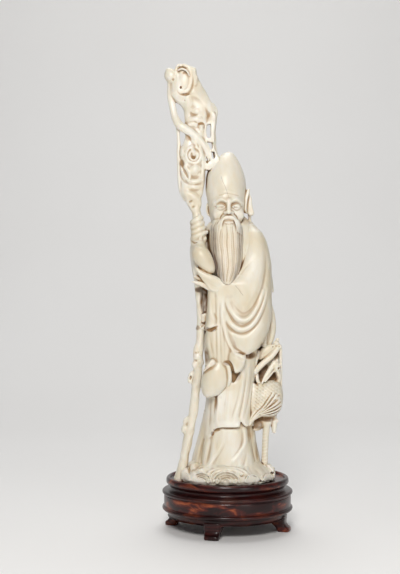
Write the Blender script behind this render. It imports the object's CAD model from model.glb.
"""Shou Lao with his staff, peach and crane: carved ivory on a polished hardwood stand.

The ivory is sculpted as solid fields on fine grids, in millimetres from the middle of the
seat that it rests on: x to the right, y away from the front, z up. The stand is turned
from its profile.
"""

import math

import bmesh
import bpy
import numpy as np
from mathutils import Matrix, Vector


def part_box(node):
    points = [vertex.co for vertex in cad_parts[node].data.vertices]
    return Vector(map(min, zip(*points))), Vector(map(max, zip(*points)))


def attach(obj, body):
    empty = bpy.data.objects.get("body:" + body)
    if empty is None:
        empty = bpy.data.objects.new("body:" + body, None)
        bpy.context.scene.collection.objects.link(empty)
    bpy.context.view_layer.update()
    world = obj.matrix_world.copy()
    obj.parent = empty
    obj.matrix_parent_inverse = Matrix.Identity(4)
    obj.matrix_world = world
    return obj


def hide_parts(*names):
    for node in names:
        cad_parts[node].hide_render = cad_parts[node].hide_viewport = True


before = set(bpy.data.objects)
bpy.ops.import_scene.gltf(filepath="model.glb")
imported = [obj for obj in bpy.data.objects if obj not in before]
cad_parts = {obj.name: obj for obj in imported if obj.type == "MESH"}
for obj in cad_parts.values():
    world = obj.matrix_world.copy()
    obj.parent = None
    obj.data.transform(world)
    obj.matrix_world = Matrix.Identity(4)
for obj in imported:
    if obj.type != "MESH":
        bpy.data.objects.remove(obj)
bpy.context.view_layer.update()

MM = 0.001
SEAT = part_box("shou_lao_carving")[0].z / MM  # height of the carving's underside
FAR = 8.0  # the field's value away from any form
POWER = 2.2  # how square the sections of the large forms are; 2 is an ellipse
FOLD_ROOM = 5  # how far a form's folds may reach past its rows
TINY, HUGE = 1e-9, 1e9


# Curves through rows of numbers


def between(rows, key):
    """The values of rows keyed by their first number, on a smooth curve that never swings
    past the rows."""
    rows = np.array(rows, float)
    keys, values = rows[:, 0], rows[:, 1:]
    key = np.clip(np.asarray(key, float), keys[0], keys[-1])
    span = np.diff(keys)[:, None]
    rise = np.diff(values, axis=0) / span
    slope = np.zeros_like(values)
    product = rise[:-1] * rise[1:]
    total = np.where(product > 0, rise[:-1] + rise[1:], 1)
    slope[1:-1] = np.where(product > 0, 2 * product / total, 0)
    i = np.clip(np.searchsorted(keys, key, "right") - 1, 0, len(keys) - 2)
    t = ((key - keys[i]) / span[i, 0])[..., None]
    step = span[i]
    return (
        values[i] * (1 + 2 * t) * (1 - t) ** 2
        + values[i + 1] * t * t * (3 - 2 * t)
        + step * slope[i] * t * (1 - t) ** 2
        - step * slope[i + 1] * t * t * (1 - t)
    )


def smooth_path(points, samples=6):
    """A smooth curve through rows of numbers, with samples steps from row to row."""
    rows = np.array(points, float)
    ends = np.vstack([2 * rows[0] - rows[1], rows, 2 * rows[-1] - rows[-2]])
    t = np.linspace(0, 1, samples, endpoint=False)[:, None]
    parts = []
    for a, b, c, d in zip(ends, ends[1:], ends[2:], ends[3:]):
        curve = 2 * b + (c - a) * t
        curve = curve + (2 * a - 5 * b + 4 * c - d) * t**2 + (3 * b - a - 3 * c + d) * t**3
        parts.append(curve / 2)
    return np.vstack([*parts, rows[-1:]])


def smooth_step(low, high, value):
    """0 up to low and 1 from high on, with a smooth rise between them."""
    t = np.clip((value - low) / (high - low), 0, 1)
    return t * t * (3 - 2 * t)


def smooth_min(a, b, blend):
    """The lower of two distances, rounded where they are nearer each other than blend."""
    if blend <= 0:
        return np.minimum(a, b)
    overlap = np.maximum(blend - np.abs(a - b), 0)
    return np.minimum(a, b) - overlap * overlap / (4 * blend)


def ripple(x, y, z, size):
    """A soft uneven value from -1 to 1, made of crossing waves about size apart."""
    k = 2 * math.pi / size
    value = np.sin(k * (x + 0.6 * y) + 1.3 * np.sin(0.37 * k * (z - 0.4 * x)))
    value = value * np.sin(k * (0.8 * z - 0.5 * y) + 1.1 * np.sin(0.53 * k * (x + 0.7 * z)) + 0.7)
    return value


# Forms: each is its lowest corner, its highest corner and its distance function


def tower(rows, power=POWER, fold=None, rounding=1.2):
    """A standing form through rows of [height, left, right, front, back]. fold(angle,
    height) moves its wall out or in; angle 0 is the right side and -pi / 2 the front."""
    table = np.array(rows, float)
    low = (table[:, 1].min() - FOLD_ROOM, table[:, 3].min() - FOLD_ROOM, table[0, 0] - 1)
    high = (table[:, 2].max() + FOLD_ROOM, table[:, 4].max() + FOLD_ROOM, table[-1, 0] + 1)
    middle, half = (table[0, 0] + table[-1, 0]) / 2, (table[-1, 0] - table[0, 0]) / 2

    def distance(x, y, z):
        left, right, front, back = between(rows, z.ravel()).T.astype(np.float32)
        dx = x - (left + right) / 2
        dy = y - (front + back) / 2
        reach = np.hypot(dx, dy) + 1e-3
        share = np.abs(dx) / ((right - left) / 2)
        depth = np.abs(dy) / ((back - front) / 2)
        if power == 2:
            grid = np.sqrt(share * share + depth * depth)
        else:
            grid = (share**power + depth**power) ** (1 / power)
        wall = reach - reach / np.maximum(grid, 1e-3)
        if fold is not None:
            wall = wall - fold(np.arctan2(dy, dx), z)
        ends = np.abs(z - middle) - half
        return -smooth_min(-wall, -ends, rounding)

    return low, high, distance


def front_of(rows, x, height, power=POWER):
    """The depth of a tower's front wall."""
    left, right, front, back = between(rows, height)
    reach = min(0.97, abs(x - (left + right) / 2) / ((right - left) / 2))
    return (front + back) / 2 - (back - front) / 2 * (1 - reach**power) ** (1 / power)


def limb(points, samples=6, flat=1.0):
    """A round limb through points [x, y, z, radius]; flat is its depth over its width."""
    path = smooth_path(points, samples).astype(np.float32)
    path[:, 3] = np.maximum(path[:, 3], 0.15)
    reach = path[:, 3].max() + 2.0
    low, high = path[:, :3].min(0) - reach, path[:, :3].max(0) + reach

    def distance(x, y, z):
        best = np.full(np.broadcast_shapes(x.shape, y.shape, z.shape), FAR, np.float32)
        axes = [x.ravel(), y.ravel(), z.ravel()]
        for a, b in zip(path[:-1], path[1:]):
            near = tuple(
                slice(*np.searchsorted(axis, (min(p, q) - reach, max(p, q) + reach)))
                for axis, p, q in zip(axes, a[:3], b[:3])
            )
            px = axes[0][near[0], None, None] - a[0]
            py = (axes[1][None, near[1], None] - a[1]) / flat
            pz = axes[2][None, None, near[2]] - a[2]
            along = b[:3] - a[:3]
            along[1] /= flat
            t = np.clip((px * along[0] + py * along[1] + pz * along[2]) / (along @ along + TINY), 0, 1)
            gap = (px - t * along[0]) ** 2 + (py - t * along[1]) ** 2 + (pz - t * along[2]) ** 2
            found = np.sqrt(gap) - (a[3] + t * (b[3] - a[3]))
            best[near] = np.minimum(best[near], found)
        return best

    return low, high, distance


def twig(depths, *points, flat=1.0):
    """A limb through points [x, z, radius], whose depth runs evenly through depths."""
    shares = np.linspace(0, 1, len(depths))
    spots = np.interp(np.linspace(0, 1, len(points)), shares, depths)
    return limb([[x, y, z, size] for (x, z, size), y in zip(points, spots)], flat=flat)


def egg(centre, half, lean=0.0):
    """An egg with its half sizes, tipped about the depth axis by lean degrees."""
    centre, half = np.array(centre, float), np.array(half, float)
    reach = half.max() + 2
    cos, sin = math.cos(math.radians(lean)), math.sin(math.radians(lean))

    def distance(x, y, z):
        dx, dy, dz = x - centre[0], y - centre[1], z - centre[2]
        across, up = dx * cos - dz * sin, dx * sin + dz * cos
        first = (across / half[0]) ** 2 + (dy / half[1]) ** 2 + (up / half[2]) ** 2
        second = (across / half[0] ** 2) ** 2 + (dy / half[1] ** 2) ** 2 + (up / half[2] ** 2) ** 2
        size = np.sqrt(first)
        return size * (size - 1) / np.sqrt(second + TINY)

    return centre - reach, centre + reach, distance


def leaf(outline, front, back, rounding):
    """A closed outline [x, z] in the frontal plane, as thick as from front to back."""
    path = smooth_path([*outline, outline[0]], 5)
    low = (path[:, 0].min() - 3, front - 3, path[:, 1].min() - 3)
    high = (path[:, 0].max() + 3, back + 3, path[:, 1].max() + 3)
    middle, half = (front + back) / 2, (back - front) / 2

    def distance(x, y, z):
        flat_x, flat_z = x[:, 0, :], z[0]
        gap = np.full(np.broadcast_shapes(flat_x.shape, flat_z.shape), HUGE)
        inside = np.zeros(gap.shape, bool)
        for (ax, az), (bx, bz) in zip(path[:-1], path[1:]):
            dx, dz = bx - ax, bz - az
            length = dx * dx + dz * dz
            if length < TINY:
                continue
            t = np.clip(((flat_x - ax) * dx + (flat_z - az) * dz) / length, 0, 1)
            gap = np.minimum(gap, (flat_x - ax - t * dx) ** 2 + (flat_z - az - t * dz) ** 2)
            if az != bz:
                crosses = (az > flat_z) != (bz > flat_z)
                inside ^= crosses & (flat_x < ax + (flat_z - az) * dx / dz)
        edge = np.where(inside, -1, 1) * np.sqrt(gap)
        slab = np.abs(y - middle) - half
        return -smooth_min(-edge[:, None, :], -slab, rounding).astype(np.float32)

    return low, high, distance


# The clay that forms are joined to and cut from


class Clay:
    """A grid that holds the distance to a surface, below zero inside it."""

    def __init__(self, low, high, voxel):
        self.voxel = voxel
        self.first = np.floor(np.array(low, float) / voxel).astype(int)
        self.count = np.ceil(np.array(high, float) / voxel).astype(int) - self.first + 1
        self.field = np.full(self.count, FAR, np.float32)

    def span(self, low, high):
        """The slices and the three coordinates of the grid between two corners."""
        start = np.floor(np.array(low, float) / self.voxel).astype(int) - self.first
        stop = np.ceil(np.array(high, float) / self.voxel).astype(int) - self.first + 1
        start, stop = np.clip(start, 0, self.count), np.clip(stop, 0, self.count)
        axes = [
            ((np.arange(a, b) + first) * self.voxel).astype(np.float32)
            for a, b, first in zip(start, stop, self.first)
        ]
        spot = tuple(slice(a, b) for a, b in zip(start, stop))
        return spot, axes[0][:, None, None], axes[1][None, :, None], axes[2][None, None, :]

    def whole(self):
        """The slices and the three coordinates of the whole grid."""
        low = self.first * self.voxel
        return self.span(low, low + (self.count - 1) * self.voxel)

    def add(self, form, blend=0.8, sign=1):
        """Joins a form with a rounded seam; with sign -1 the form is cut out."""
        low, high, distance = form
        spot, x, y, z = self.span(np.array(low) - blend, np.array(high) + blend)
        if self.field[spot].size:
            self.field[spot] = sign * smooth_min(sign * self.field[spot], distance(x, y, z), blend)

    def cut(self, form, blend):
        """Cuts a form out, with a rounded edge."""
        self.add(form, blend, -1)

    def blank(self, low, high):
        """An empty grid for a part of this one, with the same steps."""
        return Clay(low, high, self.voxel)

    def join(self, other, blend):
        """Joins another clay of the same step, with a rounded seam."""
        start = np.maximum(self.first, other.first)
        stop = np.minimum(self.first + self.count, other.first + other.count)
        mine = tuple(slice(a - f, b - f) for a, b, f in zip(start, stop, self.first))
        theirs = tuple(slice(a - f, b - f) for a, b, f in zip(start, stop, other.first))
        self.field[mine] = smooth_min(self.field[mine], other.field[theirs], blend)

    def facing(self, side):
        """How far each point of the surface looks to the front (-1) or the back (1)."""
        slope = np.gradient(self.field, self.voxel, axis=1)
        return np.clip(side * slope * 1.5, 0, 1)

    def press(self, relief, side=-1):
        """Raises the front or the back by the heights of a relief."""
        self.field -= relief.height[:, None, :] * self.facing(side)

    def roughen(self, size, height):
        """Makes the surface uneven, by height over a distance of size."""
        _, x, y, z = self.whole()
        self.field -= ripple(x, y, z, size).astype(np.float32) * height

    def level(self, height):
        """Cuts everything below a height off flat."""
        _, _, _, z = self.whole()
        self.field = np.maximum(self.field, height - z)


class Relief:
    """Heights over the front view of some clay, drawn with strokes."""

    def __init__(self, clay):
        _, x, _, z = clay.whole()
        self.x, self.z = x[:, 0, :], z[0]
        self.height = np.zeros((x.size, z.size), np.float32)

    def stroke(self, points, kind="ridge"):
        """Draws along points [x, z, width, height]. A ridge is rounded and a groove is
        sharp. A fold is high on its left as one walks along it and steep on its right."""
        steep, thinnest = 1.1, 0.05  # width of a fold's steep side, least width of a stroke
        path = smooth_path(points)
        reach = path[:, 2].max()
        low, high = path[:, :2].min(0) - reach, path[:, :2].max(0) + reach
        rows = slice(*np.searchsorted(self.x.ravel(), (low[0], high[0])))
        cols = slice(*np.searchsorted(self.z.ravel(), (low[1], high[1])))
        x, z = self.x[rows], self.z[:, cols]
        nearest = np.full((x.size, z.size), HUGE)
        value = np.zeros_like(nearest)
        for a, b in zip(path[:-1], path[1:]):
            dx, dz = b[0] - a[0], b[1] - a[1]
            t = np.clip(((x - a[0]) * dx + (z - a[1]) * dz) / (dx * dx + dz * dz + TINY), 0, 1)
            off_x, off_z = x - a[0] - t * dx, z - a[1] - t * dz
            gap = np.hypot(off_x, off_z)
            share = gap / np.maximum(a[2] + t * (b[2] - a[2]), thinnest)
            if kind == "ridge":
                shape = np.clip(1 - share**2, 0, 1) ** 2
            elif kind == "groove":
                shape = -np.clip(1 - share, 0, 1) ** 1.4
            else:
                left = dx * off_z - dz * off_x > 0
                shape = np.where(left, np.clip(1 - share, 0, 1) ** 2, np.clip(1 - gap / steep, 0, 1))
            closer = gap < nearest
            nearest = np.where(closer, gap, nearest)
            value = np.where(closer, shape * (a[3] + t * (b[3] - a[3])), value)
        self.height[rows, cols] += value.astype(np.float32)

    def soften(self, radius, strength=1.0):
        """Rounds the heights over radius steps."""
        self.height = blur(self.height[:, None, :], radius)[:, 0, :] * strength

    def strokes(self, kind, *lines):
        """Draws several strokes of one kind."""
        for line in lines:
            self.stroke(line, kind)

    def scales(self, spots, flow, size, height):
        """Round scales that overlap, each highest at its tip, the way that flow points."""
        for x, z in spots:
            along = ((self.x - x) * flow[0] + (self.z - z) * flow[1]) / size
            inside = np.hypot(self.x - x, self.z - z) < size
            self.height = np.where(inside, height * (0.5 + 0.5 * along), self.height).astype(np.float32)


def surface_net(clay):
    """The surface of some clay, as vertices in millimetres and four-sided faces."""
    field = clay.field
    inside = field < 0
    total = np.zeros(np.array(field.shape) - 1, np.uint8)
    offsets = [(i, j, k) for i in (0, 1) for j in (0, 1) for k in (0, 1)]
    for i, j, k in offsets:
        total += inside[i : i + total.shape[0], j : j + total.shape[1], k : k + total.shape[2]]
    cells = np.argwhere((total > 0) & (total < 8))
    index = np.full(total.shape, -1, np.int64)
    index[tuple(cells.T)] = np.arange(len(cells))
    values = [field[cells[:, 0] + i, cells[:, 1] + j, cells[:, 2] + k] for i, j, k in offsets]
    middle = np.zeros((len(cells), 3))
    crossings = np.zeros(len(cells))
    for a, low in enumerate(offsets):
        for b, high in enumerate(offsets):
            if b <= a or sum(high) - sum(low) != 1 or any(q < p for p, q in zip(low, high)):
                continue
            crosses = (values[a] < 0) != (values[b] < 0)
            t = np.where(crosses, values[a] / np.where(crosses, values[a] - values[b], 1), 0)
            point = np.array(low) + t[:, None] * (np.array(high) - np.array(low))
            middle += point * crosses[:, None]
            crossings += crosses
    vertices = (cells + middle / crossings[:, None] + clay.first) * clay.voxel
    faces = []
    for axis in range(3):
        u, v = (axis + 1) % 3, (axis + 2) % 3
        low = [slice(None)] * 3
        high = [slice(None)] * 3
        low[axis], high[axis] = slice(0, -1), slice(1, None)
        start, stop = inside[tuple(low)], inside[tuple(high)]
        points = np.argwhere(start != stop)
        points = points[(points[:, u] > 0) & (points[:, v] > 0)]
        points = points[(points[:, u] < total.shape[u]) & (points[:, v] < total.shape[v])]
        outward = start[tuple(points.T)]
        step_u, step_v = np.eye(3, dtype=int)[u], np.eye(3, dtype=int)[v]
        corners = [points - step_u - step_v, points - step_v, points, points - step_u]
        ring = np.stack([index[tuple(corner.T)] for corner in corners], axis=1)
        ring[~outward] = ring[~outward][:, ::-1]
        faces.append(ring)
    return vertices, np.vstack(faces)


def blur(values, radius):
    """The mean over a cube that reaches radius steps each way, applied twice."""
    for _ in range(2):
        for axis in range(3):
            pads = [(0, 0)] * 3
            pads[axis] = (radius + 1, radius)
            total = np.cumsum(np.pad(values, pads, mode="edge"), axis=axis, dtype=np.float64)
            count = values.shape[axis]
            upper = np.take(total, range(2 * radius + 1, 2 * radius + 1 + count), axis=axis)
            lower = np.take(total, range(0, count), axis=axis)
            values = ((upper - lower) / (2 * radius + 1)).astype(np.float32)
    return values


def read_grid(values, first, voxel, points):
    """The values of a grid at points, mixed from the eight corners around each."""
    spot = np.clip(points / voxel - first, 0, np.array(values.shape) - 1.001)
    base = spot.astype(int)
    t = spot - base
    result = np.zeros(len(points))
    for i in (0, 1):
        for j in (0, 1):
            for k in (0, 1):
                weight = abs(1 - i - t[:, 0]) * abs(1 - j - t[:, 1]) * abs(1 - k - t[:, 2])
                result += weight * values[base[:, 0] + i, base[:, 1] + j, base[:, 2] + k]
    return result


# The rows of the large forms: height, left, right, front, back

SKIRT = [
    [3, -30, 28, -34, 28], [16, -28.8, 26.6, -31.5, 26.5], [29, -25.6, 24, -29, 25],
    [42, -22.5, 22.9, -27.5, 24], [56, -20, 22, -25, 23],
]
ROBE = [
    [34, -22.4, 25.4, -32, 27], [44, -21, 24.5, -31, 26.5], [52, -19.6, 23.6, -29.5, 25.8],
    [68, -17.6, 23, -28.2, 25.2], [90, -17.2, 24.5, -27.6, 25], [120, -17.8, 28.5, -27.4, 26],
    [150, -18.4, 31, -26.5, 26.8], [175, -19, 33, -25, 27], [192, -19.4, 32.4, -22.5, 26],
    [203, -19.6, 29.6, -18.5, 23.4], [211, -18, 24, -14, 19.6], [217, -12.6, 17.4, -11, 14.6],
    [224, -9, 9.6, -9.6, 10],
]
SLEEVE = [
    [105, 7, 20, -31.4, -12], [111, 1, 26.5, -33, -8], [120, -3.6, 31.4, -34.2, -4],
    [130, -7, 35.2, -34.8, 2], [142, -9.6, 36.7, -35, 7], [153, -11.6, 36.4, -35.2, 10],
    [162, -12.4, 36.4, -34.4, 11.5], [168, -6, 36.6, -32.4, 12.4], [176, 3.6, 36.6, -29.4, 13.4],
    [186, 8.6, 35.4, -25.6, 14.4], [197, 11.6, 33, -20.6, 14.6], [206, 13.5, 28.8, -15.6, 13],
    [213, 14.5, 22.6, -9, 9],
]
BASE = [
    [0, -41, 38.5, -39, 33], [3, -42, 39.5, -40, 34], [6.4, -39.8, 37.4, -38.2, 32],
    [10, -35.2, 33.4, -35.4, 29.6], [14, -30.6, 28.4, -32.6, 27], [18, -26.6, 24.6, -29.2, 24.6],
]
HEAD = [
    [206, -8, 8, -17, 6], [213, -13.2, 12, -20, 10], [222, -15.2, 14, -21.6, 13],
    [231, -16.6, 15.1, -21.8, 15], [242, -18.4, 15.6, -22, 16.6], [250, -18.2, 15, -20.8, 16.4],
    [258, -16.4, 12.7, -17.8, 14], [263, -13.9, 10.6, -14.8, 11.2], [267.5, -10, 8.2, -11.2, 8],
    [270.6, -5.8, 6, -8, 5], [272.6, -2.6, 4.2, -5.2, 2], [273.9, 0, 2.2, -2.6, 0],
]
BEARD = [
    [161.4, -3.6, 2.2, -37, -30], [165, -7.6, 5.4, -36.8, -24], [175, -10.8, 10.2, -34, -16],
    [187, -13.8, 12.2, -31, -12], [199, -15.2, 12.8, -28.4, -8], [208, -15, 12.4, -25.4, -6],
    [216, -12, 9.6, -22.4, -8],
]
TRUNK = [
    [212, -28.6, -22.6, -16, -10], [220, -28.9, -21.8, -16, -9], [224.4, -31.4, -22.3, -16, -8],
    [229, -34.3, -21.8, -15.6, -6.6], [234, -36.4, -21.8, -15, -5], [239, -38.6, -20.6, -14.8, -4],
    [246, -39.4, -19.4, -14.6, -3], [252, -39.8, -18.8, -14.8, -2], [263, -40.2, -18.2, -15, -2],
    [273, -39.4, -18.4, -15, -2], [280, -37, -18.4, -14.6, -2.2], [285, -35.8, -17.8, -14.4, -2.4],
    [293, -35.8, -17.4, -14, -2.4], [299, -36, -16.4, -14, -2.2], [303, -36.4, -12.4, -14, -2],
    [307, -37, -9.6, -14, -2], [311, -39.4, -11.4, -14.2, -1.8], [315.4, -44.6, -14.2, -14.4, -1.6],
    [322, -48, -17.8, -15, -1], [329, -47.4, -22, -15, -1], [335.6, -45.4, -25.6, -14.4, -1.4],
    [341, -43.4, -26.8, -12.6, -2], [344.6, -41, -29.4, -10, -5],
]


def pleats(angle, count, shift):
    """Rounded folds with narrow valleys, from 0 in a valley to 1 on a crest."""
    return np.abs(np.sin(angle * count / 2 + shift))


# The parts of the carving


def carve_base():
    """Rocks and waves, with shallow arcs and spiral eyes around the wall."""
    clay = Clay((-44, -43, -2), (42, 36, 21), 0.45)
    clay.add(tower(BASE, fold=lambda angle, z: np.sin(angle * 5 + z * 0.3) * 0.5))
    clay.roughen(9, 0.4)
    rocks = [
        [-34, -20, 7, 5], [-27, -28, 5.6, 4.4], [-21.6, -28.6, 10.4, 4], [-28, -20, 12, 4],
        [33, -12, 6, 5.6], [-20, 24, 8, 7], [24, 18, 8, 6], [-35, 4, 7, 5],
    ]
    for x, y, z, size in rocks:
        clay.add(egg((x, y, z), (size, size, size * 0.9)), 2.4)
    left, right, front, back = BASE[1][1:]

    def on_wall(turn, across, height):
        """A spot on the wall, beside the middle of a wave at a turn about the figure."""
        square, foot, inset, taper = 0.91, 3, 0.996, 0.0035
        cos, sin = math.cos(turn), math.sin(turn)
        x = (left + right) / 2 + math.copysign(abs(cos) ** square, cos) * (right - left) / 2
        y = (front + back) / 2 + math.copysign(abs(sin) ** square, sin) * (back - front) / 2
        inward = inset - taper * max(height - foot, 0) ** 1.3 / 2
        return [x * inward - sin * across, y * inward + cos * across, height]

    waves = [(-90.6, 10.6, 8.9), (-118, 8.6, 7.4), (-146, 7, 6), (-62, 6.4, 5.6), (-36, 5.6, 4.6)]
    waves += [(degrees, 8.0, 7.0) for degrees in range(-6, 195, 28)]
    arc = [math.pi * step / 12 for step in range(13)]
    curl_turn = 0.75
    for degrees, wide, tall in waves:
        turn = math.radians(degrees)
        for share in (1.0, 0.76, 0.54, 0.32):
            route = []
            for angle in arc:
                spot = on_wall(turn, wide * share * math.cos(angle), 2.6 + tall * share * math.sin(angle))
                route.append([*spot, 0.46 if share == 1.0 else 0.32])
            clay.add(limb(route, 3), 1.2)
        for side in (-1, 1):
            for curl in range(11):
                angle = curl * curl_turn
                size = 2.1 - curl * 0.17
                start, end = (
                    on_wall(turn, side * (wide * 0.72 + size * math.cos(a)), 3.2 + size * math.sin(a))
                    for a in (angle, angle + curl_turn)
                )
                clay.add(limb([[*start, 0.5], [*end, 0.5]], 2), 0.2)
    for height, reach, rise in ((6.4, 13.4, 6.0), (6.0, 17.4, 7.8)):
        route = []
        for angle in arc:
            x, z = reach * math.cos(angle) - 0.6, height + rise * math.sin(angle)
            route.append([x, front_of(BASE, x, z), z, 0.6])
        clay.add(limb(route, 3), 1.2)
    slashes = [
        [[-15, -33, 14.6, 0.4], [-12.4, -34.6, 13.4, 0.8], [-9, -35.4, 11.2, 0.4]],
        [[11.4, -36.4, 7, 0.4], [13.4, -35.6, 8.4, 0.7], [16, -34, 10.4, 0.4]],
        [[-29.6, -26.4, 15.2, 0.8], [-25.4, -28.8, 12.4, 1], [-21, -30.4, 13.6, 0.8]],
        [[9, -36.4, 8.2, 0.3], [11, -36, 7, 0.6], [15, -34.6, 10.4, 0.5]],
        [[-33.4, -20, 13.6, 0.9], [-32, -21.6, 10.4, 1.2], [-31.8, -23.4, 7.6, 0.7]],
        [[22.6, -31.6, 1.6, 1], [25, -30.6, 2.6, 1.3], [27.4, -28.6, 1.8, 0.8]],
        [[35, -18, 5, 0.9], [36.6, -15, 6.6, 1.3], [37.4, -12, 6, 0.8]],
        [[-18, -33.4, 5.6, 0.3], [-15.6, -34.6, 6.4, 0.7], [-13, -35.4, 5.2, 0.3]],
    ]
    for route in slashes:
        clay.cut(limb(route, flat=2), 0.4)
    leaves = [
        (-34.6, -22.6, 6.4, 25), (-31.4, -25.2, 3.4, -30), (-29, -26.4, 7.6, 40), (-36.6, -19.4, 3.6, 10),
        (26.4, -27.6, 4.2, 35), (30, -24.6, 3.4, -25), (33.4, -21.4, 4.6, 30), (36, -17, 2.8, -10),
    ]
    for x, y, z, lean in leaves:
        clay.add(egg((x, y, z), (1.5, 2.2, 2.7), lean), 0.35)
    clay.level(0)
    return clay


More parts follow.
